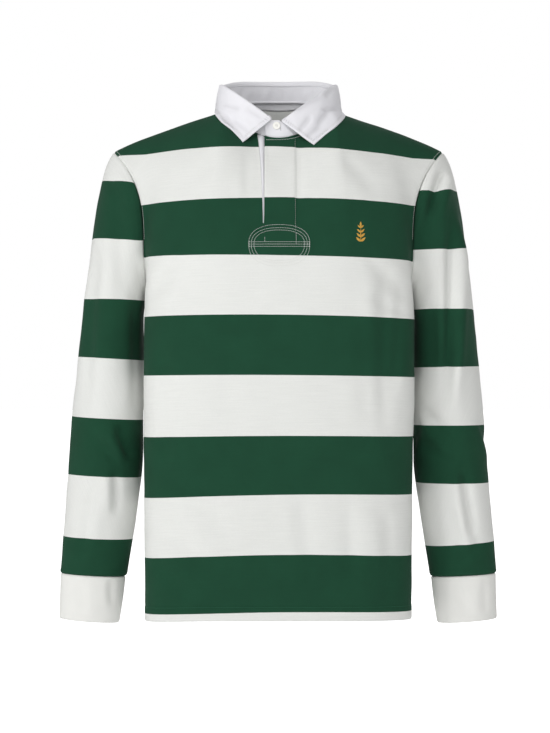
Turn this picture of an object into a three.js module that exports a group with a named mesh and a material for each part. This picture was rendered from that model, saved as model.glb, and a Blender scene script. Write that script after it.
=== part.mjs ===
// A long-sleeved rugby shirt, filled out as if worn, hollow and open at the neck, hem and cuffs.
// Millimetres, +Z up. The front of the shirt faces -Y, and +X is the wearer's left.
// The origin lies inside the neck, where the wearer's neck and shoulders hold the shirt up.
import * as THREE from "three";

// Cloth thickness, and the gaps at a seam and under a piece that lies on a panel
const JERSEY = 2.0;
const TWILL = 1.6;
const TAPE = 1.1;
const SEAM_GAP = 0.3;
const SLEEVE_CLEAR = 0.8;
const LAY_GAP = 0.4;

// Body below the armholes: one row for each level, from the hem up to the chest.
// right and left are half widths at the widest line, front and back are depths from Y = 0.
const BODY = [
  { z: -714, right: 188.7, left: 188.7, front: 119, back: 121 },
  { z: -610, right: 189.2, left: 188.9, front: 121, back: 118 },
  { z: -500, right: 190.4, left: 190.0, front: 124, back: 116 },
  { z: -390, right: 190.6, left: 192.0, front: 129, back: 121 },
  { z: -280, right: 190.6, left: 193.0, front: 131, back: 130 },
];
const BODY_STEPS = 3;
const WIDEST_Y = -48;
const FRONT_ROUNDNESS = 2.6;
const BACK_ROUNDNESS = 1.9;
const SIDE_SEAM_ANGLE = 18.5;
const HEM_DROP = { right: 6, left: 3 };

// Shoulder line, from the neck point to the shoulder point
const NECK_POINT = { x: 72, y: 10, z: 8 };
const SHOULDER_POINT = { x: 237, y: 5, z: -53 };
const SHOULDER_SLOPE = 0.335;
const SHOULDER_DROOP = 6;

// Neck seam at the centre front and the centre back
const NECK_FRONT = { y: -60, z: -38.5 };
const NECK_BACK = { y: 74, z: 29 };
const NECK_DIP = 0.9;

// Share of a panel's half width that ends at the neck seam, and how the chest and back roll over
const NECK_SHARE = 0.404;
const FRONT_ROLL = 0.35;
const BACK_ROLL = 0.5;
const RISE = 1.7;
const SWELL_FRONT = 6;
const SWELL_BACK = 7;
const ARMHOLE_PULL = 3;

// Sleeve: one row for each section, from the armhole to the cuff seam.
// outer and inner are the section's ends in the front view, midY and depth its middle and half depth,
// and bend is how far the section bends in towards the chest.
const SLEEVE = [
  { outerX: 237.0, outerZ: -53, innerX: 182.5, innerZ: -262, midY: 5, depth: 62, bend: 30 },
  { outerX: 244.5, outerZ: -68, innerX: 189.5, innerZ: -264.5, midY: 5, depth: 64, bend: 22 },
  { outerX: 250.5, outerZ: -85, innerX: 191.5, innerZ: -274, midY: 6, depth: 65, bend: 12 },
  { outerX: 262.0, outerZ: -133, innerX: 193.5, innerZ: -287, midY: 8, depth: 67, bend: 3 },
  { outerX: 269.5, outerZ: -180, innerX: 194.0, innerZ: -300, midY: 9, depth: 68, bend: 0 },
  { outerX: 277.0, outerZ: -233, innerX: 194.0, innerZ: -315, midY: 11, depth: 68, bend: 0 },
  { outerX: 283.5, outerZ: -291, innerX: 194.0, innerZ: -334, midY: 13, depth: 67, bend: 0 },
  { outerX: 289.5, outerZ: -355, innerX: 194.0, innerZ: -367, midY: 15, depth: 65, bend: 0 },
  { outerX: 296.3, outerZ: -435, innerX: 194.0, innerZ: -437, midY: 13, depth: 61, bend: 0 },
  { outerX: 301.0, outerZ: -497, innerX: 194.4, innerZ: -499, midY: 8, depth: 56, bend: 0 },
  { outerX: 305.2, outerZ: -552, innerX: 201.5, innerZ: -555, midY: 2, depth: 49, bend: 0 },
  { outerX: 309.4, outerZ: -607, innerX: 209.5, innerZ: -611, midY: -3, depth: 41, bend: 0 },
  { outerX: 313.3, outerZ: -657, innerX: 217.3, innerZ: -662, midY: -6, depth: 33, bend: 0 },
];
const SLEEVE_STEPS = 2;
const HALF_AROUND = 11;
const BEND_HIGH = 0.62;

// Cuff: from the sleeve seam to the wrist
const CUFF = [
  { outerX: 312.0, outerZ: -657.6, innerX: 218.8, innerZ: -662.8, midY: -6, depth: 31.5, bend: 0 },
  { outerX: 312.6, outerZ: -690, innerX: 222.6, innerZ: -696, midY: -7, depth: 30, bend: 0 },
  { outerX: 313.6, outerZ: -722, innerX: 227.6, innerZ: -728.5, midY: -8, depth: 27.5, bend: 0 },
];
const CUFF_STEPS = 2;

// Columns of the panels: shares of the half width. The front's own ones keep clear of the slit.
const NECK_COLUMNS = 12;
const SHOULDER_COLUMNS = 8;
const FRONT_COLUMNS_RIGHT = [-0.31, -0.22, -0.145];
const FRONT_COLUMNS_LEFT = [0, 0.0857, 0.165, 0.25, 0.33];

// Placket: the slit's edges, the overlap in front of it and the underlap behind it, by X.
// Feet are counted in rows below the neck seam.
const SLIT = { rightTop: -30, rightFoot: -23.2, leftTop: -12, leftFoot: -21.5, rows: 7 };
const OVERLAP = { right: -19, left: 23, rows: 8.45, topRows: 0.16 };
const UNDERLAP = { right: -37, left: 20, rows: 8.1, topRows: 0.08 };

// Collar. Angles run from the centre back, and 180 is the centre front.
// The stand rises from the neck seam, its left end lapping over its right end.
const STAND_END = 192.5;
const NECK_REACH = 30;
const COLLAR_COLUMN = 12;
const STAND_LAP = { from: 140, to: 165, spread: 1.15 };
const STAND_LAP_TOP = -17.8;
const STAND_CORNER = { from: 186, drop: 6 };

// The leaf rises from the stand's seam, rolls over the fold and falls to its edge
const FOLD = { sideX: 83, sideY: 8, backY: 70, frontY: -64, backZ: 57, sideZ: 44, frontZ: -19 };
const LEAF_ENDS = { right: -173.2, left: 176.8 };
const LEAF_ROLL = 2.6;
const LEAF_RISE = 7;
const LEAF_LEAST_RISE = 0.6;
const LEAF_EDGE = { sideX: 91, sideY: 10, backY: 88, pointY: -72, sideZ: 4, backZ: 12 };
const LEAF_POINT_Z = { right: -46, left: -51 };
const LEAF_SLOPE = { right: 1, left: 0.8 };
const LEAF_POINT = 147;
const LEAF_CLEAR = 2.8;
const LEAF_ROWS = 5;
const LEAF_SEAM_GAP = 1.1;
const LEAF_BULGE = 2;

// Neck tape over the back neck seam, inside
const NECK_TAPE = { rows: 0.93, topRows: 0.05, columns: 11 };

// Button
const BUTTON = { radius: 5.4, thickness: 2.4, holeRadius: 0.8, holeAt: 1.5, bevel: 0.4, x: -2.5, z: -23 };

// Largest folds: soft troughs between two points, as seen from one side of the shirt.
// across is X from the front and back and Y from the side, up is Z.
const FOLDS = [
  { on: "front", seen: "front", across: [150, 146], up: [-220, -460], width: 16, depth: 4 },
  { on: "front", seen: "front", across: [104, 112], up: [-560, -670], width: 15, depth: 3 },
  { on: "front", seen: "front", across: [-150, -128], up: [-480, -640], width: 15, depth: 3 },
  { on: "front", seen: "front", across: [-172, -120], up: [-250, -200], width: 14, depth: 3.5 },
  { on: "back", seen: "back", across: [-70, -92], up: [-240, -620], width: 20, depth: 6 },
  { on: "back", seen: "back", across: [84, 66], up: [-300, -660], width: 20, depth: 6 },
  { on: "back", seen: "back", across: [-160, -105], up: [-255, -175], width: 17, depth: 5 },
  { on: "back", seen: "back", across: [160, 110], up: [-255, -165], width: 17, depth: 5 },
  { on: "sleeve_left", seen: "front", across: [243, 238], up: [-190, -420], width: 13, depth: 7 },
  { on: "sleeve_left", seen: "front", across: [232, 215], up: [-92, -150], width: 11, depth: 6 },
  { on: "sleeve_left", seen: "front", across: [262, 278], up: [-520, -605], width: 12, depth: 4 },
  { on: "sleeve_left", seen: "back", across: [236, 215], up: [-300, -440], width: 15, depth: 6 },
  { on: "sleeve_left", seen: "back", across: [268, 240], up: [-470, -540], width: 13, depth: 4 },
  { on: "sleeve_right", seen: "front", across: [258, 274], up: [-190, -425], width: 13, depth: 4 },
  { on: "sleeve_right", seen: "front", across: [210, 226], up: [-440, -500], width: 11, depth: 5 },
  { on: "sleeve_right", seen: "front", across: [229, 232], up: [-520, -570], width: 10, depth: 3 },
  { on: "sleeve_right", seen: "back", across: [244, 222], up: [-280, -430], width: 15, depth: 6 },
  { on: "sleeve_right", seen: "back", across: [262, 240], up: [-480, -560], width: 13, depth: 4 },
];
const FOLD_END = 1.6;

const COLOURS = { jersey: 0x22503a, white: 0xe6e6e0, twill: 0xeae9ef, button: 0xf2f0ea };

const DEGREE = Math.PI / 180;
const UP = new THREE.Vector3(0, 0, 1);
const LOWER_ROWS = (BODY.length - 1) * BODY_STEPS;
const UPPER_ROWS = HALF_AROUND + 1;
const ROWS = LOWER_ROWS + UPPER_ROWS;
const AROUND = HALF_AROUND * 2;

const mix = (a, b, t) => a + (b - a) * t;
const clamp01 = (t) => Math.min(1, Math.max(0, t));
const ease = (t) => t * t * (3 - 2 * t);
const signedPower = (value, power) => Math.sign(value) * Math.abs(value) ** power;
const vec = (x, y, z) => new THREE.Vector3(x, y, z);
const range = (count) => Array.from({ length: count }, (_, i) => i);

// Smooth reading of a table at a fractional row
function readRow(rows, at) {
  const low = Math.min(Math.max(Math.floor(at), 0), rows.length - 2);
  const t = at - low;
  const first = low === 0;
  const last = low === rows.length - 2;
  const value = {};
  for (const name of Object.keys(rows[low])) {
    const a = rows[low][name];
    const b = rows[low + 1][name];
    const slopeA = first ? b - a : (b - rows[low - 1][name]) / 2;
    const slopeB = last ? b - a : (rows[low + 2][name] - a) / 2;
    const curve = (1 - t) * slopeA - t * slopeB - (1 - 2 * t) * (b - a);
    value[name] = mix(a, b, t) + t * (1 - t) * curve;
  }
  return value;
}

// Depth of the named piece's folds at a point, given its outward normal
function foldDepth(piece, point, normal) {
  const x = piece.startsWith("sleeve") ? Math.abs(point.x) : point.x;
  let depth = 0;
  for (const fold of FOLDS.filter(({ on }) => on === piece)) {
    const facing = { front: -normal.y, back: normal.y, side: Math.abs(normal.x) }[fold.seen];
    const a = (fold.seen === "side" ? point.y : x) - fold.across[0];
    const b = point.z - fold.up[0];
    const runA = fold.across[1] - fold.across[0];
    const runB = fold.up[1] - fold.up[0];
    const length = Math.hypot(runA, runB);
    const along = (a * runA + b * runB) / length;
    const aside = (a * runB - b * runA) / length;
    const past = Math.max(-along, along - length, 0);
    const fade = Math.exp(-((past / (fold.width * FOLD_END)) ** 2) - (aside / fold.width) ** 2);
    depth += fold.depth * fade * ease(clamp01(facing * 2));
  }
  return depth;
}

// One level of the body: angle 0 is the centre front, 90 the wearer's left, 180 the centre back
function bodyPoint(level, angle) {
  const row = readRow(BODY, level);
  const sine = Math.sin(angle * DEGREE);
  const cosine = Math.cos(angle * DEGREE);
  const power = 2 / (cosine >= 0 ? FRONT_ROUNDNESS : BACK_ROUNDNESS);
  const width = sine > 0 ? row.left : row.right;
  const depth = cosine >= 0 ? row.front + WIDEST_Y : row.back - WIDEST_Y;
  const share = signedPower(sine, power);
  const drop = share > 0 ? HEM_DROP.left : HEM_DROP.right;
  const tilt = -drop * Math.abs(share) ** 3 * (1 - level / (BODY.length - 1));
  return vec(width * share, WIDEST_Y - depth * signedPower(cosine, power), row.z + tilt);
}

// A curve read at even distances
function evenly(curve, samples) {
  const points = range(samples + 1).map((i) => curve(i / samples));
  const lengths = [0];
  for (let i = 1; i <= samples; i += 1) lengths.push(lengths[i - 1] + points[i].distanceTo(points[i - 1]));
  return (share) => {
    const wanted = share * lengths[samples];
    let i = 1;
    while (i < samples && lengths[i] < wanted) i += 1;
    return points[i - 1].clone().lerp(points[i], (wanted - lengths[i - 1]) / (lengths[i] - lengths[i - 1]));
  };
}

// Half a level between the side seams, read by u: -1 at the wearer's right seam, 1 at the left
const levels = new Map();
function halfLevel(isFront, level) {
  const key = `${isFront} ${level}`;
  if (!levels.has(key)) {
    const reach = isFront ? 90 + SIDE_SEAM_ANGLE : 90 - SIDE_SEAM_ANGLE;
    const angle = (t) => (isFront ? mix(-reach, reach, t) : 180 + mix(reach, -reach, t));
    const even = evenly((t) => bodyPoint(level, angle(t)), 180);
    levels.set(key, (u) => even((u + 1) / 2));
  }
  return levels.get(key);
}

// Neck seam: angle 0 is the centre front, 90 the wearer's left, 180 the centre back
function neckPoint(angle) {
  const sine = Math.sin(angle * DEGREE);
  const cosine = Math.cos(angle * DEGREE);
  const end = cosine > 0 ? NECK_FRONT : NECK_BACK;
  const climb = cosine > 0 ? (1 - sine * sine) ** NECK_DIP : ease(-cosine);
  const y = mix(NECK_POINT.y, end.y, Math.abs(cosine));
  return vec(NECK_POINT.x * sine, y, mix(NECK_POINT.z, end.z, climb));
}

function shoulderPoint(share) {
  const width = SHOULDER_POINT.x - NECK_POINT.x;
  const droop = SHOULDER_POINT.z - NECK_POINT.z + SHOULDER_SLOPE * width;
  const z = NECK_POINT.z - SHOULDER_SLOPE * width * share + droop * share ** SHOULDER_DROOP;
  return vec(NECK_POINT.x + width * share, mix(NECK_POINT.y, SHOULDER_POINT.y, share), z);
}

// Upper edge of a panel: shoulder seam, neck seam, shoulder seam
function topPoint(isFront, u) {
  const size = Math.abs(u);
  if (size < NECK_SHARE) {
    const angle = (90 * u) / NECK_SHARE;
    return neckPoint(isFront ? angle : 180 - angle);
  }
  const point = shoulderPoint((size - NECK_SHARE) / (1 - NECK_SHARE));
  point.x *= Math.sign(u);
  return point;
}

// Section of a sleeve or cuff on the wearer's left: angle 0 is outside, 90 in front, 180 inside
function tubePoint(rows, at, angle) {
  const row = readRow(rows, at);
  const cosine = Math.cos(angle * DEGREE);
  const sine = Math.sin(angle * DEGREE);
  const bend = row.bend * sine * sine * BEND_HIGH * (1 + cosine);
  const share = (1 - cosine) / 2;
  const x = mix(row.outerX, row.innerX, share) - bend;
  return vec(x, row.midY - row.depth * sine, mix(row.outerZ, row.innerZ, share));
}

// Side edge of a panel above the chest level: a stretch of side seam, then the armhole
function armholePoint(isFront, side, step) {
  const around = (180 * (UPPER_ROWS - step)) / HALF_AROUND;
  const point = tubePoint(SLEEVE, 0, isFront ? around : -around);
  point.x *= side;
  return point;
}

// A point of a panel: row counts from the hem, u runs from the wearer's right edge to the left
function panelPoint(isFront, row, u) {
  if (row <= LOWER_ROWS) return halfLevel(isFront, row / BODY_STEPS)(u);
  const v = (row - LOWER_ROWS) / UPPER_ROWS;
  const size = Math.abs(u);
  const side = Math.sign(u) || 1;
  const chest = halfLevel(isFront, BODY.length - 1);
  const quarter = (v * Math.PI) / 2;
  const rise = (low, top, roll) => vec(
    mix(low.x, top.x, v),
    mix(low.y, top.y, mix(v ** RISE, 1 - Math.cos(quarter), roll)),
    mix(low.z, top.z, mix(v, Math.sin(quarter), roll)),
  );
  const middle = ease(1 - clamp01(size / NECK_SHARE));
  const point = rise(chest(u), topPoint(isFront, u), mix(1, isFront ? FRONT_ROLL : BACK_ROLL, middle));
  point.y += (isFront ? -SWELL_FRONT : SWELL_BACK) * Math.sin(v * Math.PI) * (1 - size ** 3);
  const pull = armholePoint(isFront, side, row - LOWER_ROWS);
  pull.sub(rise(chest(side), topPoint(isFront, side), 1));
  return point.addScaledVector(pull, size ** ARMHOLE_PULL);
}

// Normals of a grid, each the sum of those of the cells around it, weighted by area.
// With insideOf they face away from that point of their row.
function gridNormals(grid, closed, insideOf) {
  const normals = grid.map((row) => row.map(() => vec(0, 0, 0)));
  for (let j = 0; j + 1 < grid.length; j += 1) {
    const count = grid[j].length;
    for (let i = 0; i < (closed ? count : count - 1); i += 1) {
      const next = (i + 1) % count;
      const rising = grid[j + 1][next].clone().sub(grid[j][i]);
      const falling = grid[j + 1][i].clone().sub(grid[j][next]);
      const area = rising.cross(falling);
      for (const corner of [normals[j][i], normals[j][next], normals[j + 1][i], normals[j + 1][next]]) {
        corner.add(area);
      }
    }
  }
  return normals.map((row, j) => row.map((normal, i) => {
    const flip = insideOf && normal.dot(grid[j][i].clone().sub(insideOf(grid[j][i], j))) < 0;
    return normal.normalize().multiplyScalar(flip ? -1 : 1);
  }));
}

// Cloth before it gets its thickness: its points and the way inwards from each
function makeCloth(grid, closed, insideOf) {
  const normals = gridNormals(grid, closed, insideOf);
  return { grid, closed, inward: normals.map((row) => row.map((normal) => normal.negate())) };
}

// Presses the folds of one piece into its cloth, all but at its edges
function pressFolds(piece, { grid, inward, closed }) {
  const edge = closed ? 0 : 1;
  for (let j = 1; j + 1 < grid.length; j += 1) {
    for (let i = edge; i + edge < grid[j].length; i += 1) {
      const depth = foldDepth(piece, grid[j][i], inward[j][i].clone().negate());
      grid[j][i].addScaledVector(inward[j][i], depth);
    }
  }
}

// A seam point joins places of two or more cloths. A place is a cloth, its row, its column and the
// row and column of the next point inside that cloth.
function joinSeam(seam) {
  const spots = seam.map(([place]) => place.cloth.grid[place.at[0]][place.at[1]].clone());
  const nexts = seam.map((places) => places.map(({ cloth, next }) => cloth.grid[next[0]][next[1]].clone()));
  seam.forEach((places, k) => {
    const ways = places.map(({ cloth, at }) => cloth.inward[at[0]][at[1]]);
    const last = ways.length - 1;
    const intoLast = nexts[k][last].clone().sub(spots[k]).normalize();
    const ridge = clamp01(0.5 + 2 * ways[0].dot(intoLast));
    const shared = ways[0].clone().add(ways[last]).normalize();
    for (const way of ways) way.lerp(shared, ridge).normalize();
    const along = spots[Math.min(k + 1, spots.length - 1)].clone().sub(spots[Math.max(k - 1, 0)]).normalize();
    places.forEach(({ cloth, at }, m) => {
      const draw = nexts[k][m].clone().sub(spots[k]);
      draw.addScaledVector(along, -draw.dot(along)).normalize();
      cloth.grid[at[0]][at[1]].addScaledVector(draw, SEAM_GAP / 2);
    });
  });
}

// A named solid from corner positions and triangles, turned to face out
function solid(name, position, index, colour) {
  const at = (i) => vec(position[3 * i], position[3 * i + 1], position[3 * i + 2]);
  let volume = 0;
  for (let k = 0; k < index.length; k += 3) {
    volume += at(index[k]).dot(at(index[k + 1]).cross(at(index[k + 2])));
  }
  const geometry = new THREE.BufferGeometry();
  geometry.setAttribute("position", new THREE.Float32BufferAttribute(position, 3));
  geometry.setIndex(volume < 0 ? index.reverse() : index);
  geometry.computeVertexNormals();
  return named(name, geometry, colour);
}

function named(name, geometry, colour) {
  const material = new THREE.MeshStandardMaterial({ color: colour, roughness: 0.9, metalness: 0 });
  const mesh = new THREE.Mesh(geometry, material);
  mesh.name = name;
  return mesh;
}

// A cell's corners, begun so that its first and third corners are the nearer pair
function splitShort(cell, points) {
  const [a, b, c, d] = cell.map((corner) => points[corner]);
  return a.distanceTo(c) > b.distanceTo(d) ? [...cell.slice(1), cell[0]] : cell;
}

// A closed wall between two lists of points. Each cell names its corners by their places in a list.
function wall(name, outer, inner, cells, colour) {
  const count = outer.length;
  const index = [];
  const edges = new Map();
  for (const cell of cells.map((corners) => splitShort(corners, outer))) {
    for (const k of [1, 2]) {
      index.push(cell[0], cell[k], cell[k + 1]);
      index.push(cell[0] + count, cell[k + 1] + count, cell[k] + count);
    }
    cell.forEach((from, k) => {
      const to = cell[(k + 1) % cell.length];
      edges.set(`${from} ${to}`, [from, to]);
    });
  }
  for (const [from, to] of edges.values()) {
    if (!edges.has(`${to} ${from}`)) index.push(to, from, from + count, to, from + count, to + count);
  }
  return solid(name, [...outer, ...inner].flatMap((point) => point.toArray()), index, colour);
}

function gridCells(rows, columns, closed) {
  const cells = [];
  for (let j = 0; j + 1 < rows; j += 1) {
    for (let i = 0; i < (closed ? columns : columns - 1); i += 1) {
      const next = (i + 1) % columns;
      cells.push([j * columns + i, j * columns + next, (j + 1) * columns + next, (j + 1) * columns + i]);
    }
  }
  return cells;
}

// Cloth given its thickness, from the distance near to the distance far inwards of its points
function clothWall(name, cloth, near, far, colour, cells) {
  const inward = cloth.inward.flat();
  const layer = (distance) => cloth.grid.flat().map((point, k) => (
    point.clone().addScaledVector(inward[k], distance)
  ));
  const all = cells ?? gridCells(cloth.grid.length, cloth.grid[0].length, cloth.closed);
  return wall(name, layer(near), layer(far), all, colour);
}

// Columns of the panels. Both share those of the shoulder seams.
const shares = range(SHOULDER_COLUMNS + 1).map((i) => mix(1, NECK_SHARE, i / SHOULDER_COLUMNS));
const rightShoulder = shares.map((share) => -share);
const leftShoulder = [...shares].reverse();
const backNeck = range(NECK_COLUMNS - 1).map((i) => mix(-NECK_SHARE, NECK_SHARE, (i + 1) / NECK_COLUMNS));
const backColumns = [...rightShoulder, ...backNeck, ...leftShoulder];

// The front's columns at a row. The slit's two edges are columns of their own and meet at its foot.
const slitFoot = ROWS - SLIT.rows;
const slitColumn = rightShoulder.length + FRONT_COLUMNS_RIGHT.length;
function slitEdges(row) {
  const rise = clamp01((row - slitFoot) / SLIT.rows);
  const right = mix(SLIT.rightFoot, SLIT.rightTop, rise);
  return [right, row > slitFoot ? mix(SLIT.leftFoot, SLIT.leftTop, rise) : right];
}

function frontColumns(row) {
  const probe = FRONT_COLUMNS_LEFT[1];
  const scale = panelPoint(true, row, probe).x / probe;
  const [right, left] = slitEdges(row);
  const slit = [right / scale, left / scale];
  return [...rightShoulder, ...FRONT_COLUMNS_RIGHT, ...slit, ...FRONT_COLUMNS_LEFT, ...leftShoulder];
}

function frontCells(columns) {
  const id = (j, i) => j * columns + (i === slitColumn + 1 && j <= slitFoot ? slitColumn : i);
  return gridCells(ROWS + 1, columns, false)
    .map(([corner]) => [Math.floor(corner / columns), corner % columns])
    .filter(([, i]) => i !== slitColumn)
    .map(([j, i]) => [id(j, i), id(j, i + 1), id(j + 1, i + 1), id(j + 1, i)]);
}

const rowNumbers = range(ROWS + 1);
const insideBody = (point) => vec(0, 0, point.z - 60);
const front = makeCloth(
  rowNumbers.map((row) => frontColumns(row).map((u) => panelPoint(true, row, u))),
  false,
  insideBody,
);
const back = makeCloth(
  rowNumbers.map((row) => backColumns.map((u) => panelPoint(false, row, u))),
  false,
  insideBody,
);

// The slit's two columns face the way their neighbours do
for (const row of front.inward) {
  const shared = row[slitColumn - 1].clone().add(row[slitColumn + 2]).normalize();
  row[slitColumn].copy(shared);
  row[slitColumn + 1].copy(shared);
}

// A sleeve or cuff, mirrored for the wearer's right
function tubeCloth(rows, steps, side) {
  const grid = range((rows.length - 1) * steps + 1).map((j) => range(AROUND).map((i) => {
    const point = tubePoint(rows, j / steps, (360 * i) / AROUND);
    point.x = side * (point.x + SLEEVE_CLEAR);
    return point;
  }));
  return makeCloth(grid, true, (_, j) => {
    const row = readRow(rows, j / steps);
    return vec((side * (row.outerX + row.innerX)) / 2, row.midY, (row.outerZ + row.innerZ) / 2);
  });
}

const SIDES = { right: -1, left: 1 };
const sleeves = {};
const cuffs = {};
for (const [name, side] of Object.entries(SIDES)) {
  sleeves[name] = tubeCloth(SLEEVE, SLEEVE_STEPS, side);
  cuffs[name] = tubeCloth(CUFF, CUFF_STEPS, side);
}

pressFolds("front", front);
pressFolds("back", back);
for (const name of Object.keys(SIDES)) pressFolds(`sleeve_${name}`, sleeves[name]);

// Side, shoulder and armhole seams. The armhole starts one row above the chest level.
const armholeFoot = LOWER_ROWS + 1;
for (const [name, side] of Object.entries(SIDES)) {
  const edgeOf = (cloth) => (side > 0 ? cloth.grid[0].length - 1 : 0);
  const panelEdge = (cloth, j) => ({ cloth, at: [j, edgeOf(cloth)], next: [j, edgeOf(cloth) - side] });
  const panelTop = (cloth, k) => ({
    cloth,
    at: [ROWS, edgeOf(cloth) - side * k],
    next: [ROWS - 1, edgeOf(cloth) - side * k],
  });
  const sleeveTop = (i) => ({ cloth: sleeves[name], at: [0, i % AROUND], next: [1, i % AROUND] });
  joinSeam(range(armholeFoot + 1).map((j) => [panelEdge(front, j), panelEdge(back, j)]));
  joinSeam(shares.map((_, k) => [panelTop(front, k), panelTop(back, k)]));
  const ring = range(AROUND + 1).map((i) => {
    const row = ROWS - (i <= HALF_AROUND ? i : AROUND - i);
    const both = i % HALF_AROUND === 0;
    const panels = both ? [front, back] : [i < HALF_AROUND ? front : back];
    return [...panels.map((cloth) => panelEdge(cloth, row)), sleeveTop(i)];
  });
  joinSeam(ring.slice(0, AROUND));
}

// A place on a panel's facets at a fractional row and an X, for what lies on it
function onPanel(cloth, row, x) {
  const low = Math.min(Math.floor(row), ROWS - 1);
  const read = (j) => {
    const points = cloth.grid[j];
    let i = 1;
    while (i < points.length - 1 && points[i].x < x) i += 1;
    const t = (x - points[i - 1].x) / (points[i].x - points[i - 1].x);
    return {
      point: points[i - 1].clone().lerp(points[i], t),
      inward: cloth.inward[j][i - 1].clone().lerp(cloth.inward[j][i], t),
    };
  };
  const below = read(low);
  const above = read(low + 1);
  return {
    point: below.point.lerp(above.point, row - low),
    inward: below.inward.lerp(above.inward, row - low).normalize(),
  };
}

// A strip on the front, from one X to another, with columns at the slit's edges where it covers them
function frontStrip({ right, left, rows, topRows }) {
  const foot = ROWS - rows;
  const top = ROWS - topRows;
  const levelsUp = [foot, ...rowNumbers.filter((row) => row > foot && row < top), top];
  const places = levelsUp.map((row) => {
    const covered = slitEdges(row).map((x, k) => Math.max(x, right + 3 + 4 * k));
    const xs = [right, ...(right < SLIT.rightTop ? covered : covered.slice(1)), 0, left];
    return xs.map((x) => onPanel(front, row, x));
  });
  return {
    closed: false,
    grid: places.map((row) => row.map(({ point }) => point)),
    inward: places.map((row) => row.map(({ inward }) => inward)),
  };
}

// Tape on the inside of the back, below the neck seam, on the back's own columns
function neckTape() {
  const first = (back.grid[0].length - NECK_TAPE.columns) / 2;
  const take = (rows, j, i, share) => rows[j][i].clone().lerp(rows[j - 1][i], share);
  const columns = range(NECK_TAPE.columns).map((k) => first + k);
  const patch = (rows) => [NECK_TAPE.rows, NECK_TAPE.topRows].map((share) => (
    columns.map((i) => take(rows, ROWS, i, share))
  ));
  return { closed: false, grid: patch(back.grid), inward: patch(back.inward) };
}

// Angles of the collar's columns, from the centre back: those where the panels' columns end,
// with one more between two that are far apart
const neckAngle = (u) => 180 - (90 * u) / NECK_SHARE;
const frontAngles = frontColumns(ROWS).filter((u) => Math.abs(u) <= NECK_SHARE).map(neckAngle);
const backAngles = backNeck.map((u) => (90 * u) / NECK_SHARE);
const leftAngles = frontAngles.filter((angle) => angle < 180 + NECK_REACH).reverse();
const rightAngles = frontAngles.filter((angle) => angle > 180 - NECK_REACH).reverse().map((a) => a - 360);
const neckAngles = [...rightAngles, ...backAngles, ...leftAngles];

// Foot of the collar, on the edges of the panels' facets
function neckFoot(angle) {
  let i = 1;
  while (i < neckAngles.length - 1 && neckAngles[i] < angle) i += 1;
  const [before, after] = [neckAngles[i - 1], neckAngles[i]];
  const ends = [neckPoint(180 - before), neckPoint(180 - after)];
  return ends[0].lerp(ends[1], (angle - before) / (after - before));
}

const collarAngles = [];
neckAngles.forEach((angle, i) => {
  const before = neckAngles[i - 1];
  if (i > 0 && angle - before > COLLAR_COLUMN) collarAngles.push((angle + before) / 2);
  collarAngles.push(angle);
});

// Ring that the collar folds along. Angle 0 is the centre back, 180 the centre front.
function foldPoint(angle) {
  const sine = Math.sin(angle * DEGREE);
  const cosine = Math.cos(angle * DEGREE);
  const size = Math.abs(cosine);
  if (cosine > 0) {
    return vec(FOLD.sideX * sine, mix(FOLD.sideY, FOLD.backY, size), mix(FOLD.sideZ, FOLD.backZ, ease(size)));
  }
  const z = mix(FOLD.frontZ, FOLD.sideZ, Math.abs(sine));
  return vec(FOLD.sideX * sine, mix(FOLD.sideY, FOLD.frontY, size), z);
}

// Ring of the leaf's lower edge, up to the points
function leafEdgePoint(angle) {
  const sine = Math.sin(angle * DEGREE);
  const cosine = Math.cos(angle * DEGREE);
  const atPoint = { sine: Math.sin(LEAF_POINT * DEGREE), cosine: Math.cos(LEAF_POINT * DEGREE) };
  const x = LEAF_EDGE.sideX * sine;
  const side = sine > 0 ? 'left' : 'right';
  if (cosine > 0) {
    return vec(
      x,
      mix(LEAF_EDGE.sideY, LEAF_EDGE.backY, cosine),
      mix(LEAF_EDGE.sideZ, LEAF_EDGE.backZ, ease(cosine)),
    );
  }
  const drop = ((1 - Math.abs(sine)) / (1 - atPoint.sine)) ** LEAF_SLOPE[side];
  return vec(
    x,
    mix(LEAF_EDGE.sideY, LEAF_EDGE.pointY, cosine / atPoint.cosine),
    mix(LEAF_EDGE.sideZ, LEAF_POINT_Z[side], drop),
  );
}

// Level way out from the collar's ring
function outward(angle) {
  const ahead = foldPoint(angle + 1).sub(foldPoint(angle - 1));
  return UP.clone().cross(ahead).normalize();
}

// The left end of the collar stands out from the neck and the right end in, so that they lap
function lapOffset(angle) {
  const share = ease(clamp01((Math.abs(angle) - STAND_LAP.from) / (STAND_LAP.to - STAND_LAP.from)));
  return Math.sign(angle) * STAND_LAP.spread * share;
}

// Height of the seam between stand and leaf. It climbs to the fold where the leaf ends.
function seamHeight(angle) {
  return Math.max(foldPoint(angle).z - LEAF_RISE, STAND_LAP_TOP + LEAF_SEAM_GAP);
}

function standTop(angle) {
  const out = outward(angle);
  const point = foldPoint(angle);
  const lapped = angle < LEAF_ENDS.right || angle > LEAF_ENDS.left;
  const corner = clamp01((angle - STAND_CORNER.from) / (STAND_END - STAND_CORNER.from));
  const drop = STAND_CORNER.drop * (1 - Math.sqrt(1 - corner * corner));
  point.z = lapped ? STAND_LAP_TOP - drop : seamHeight(angle) - LEAF_SEAM_GAP;
  return point.addScaledVector(out, lapOffset(angle) - LEAF_ROLL + TWILL / 2);
}

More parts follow.
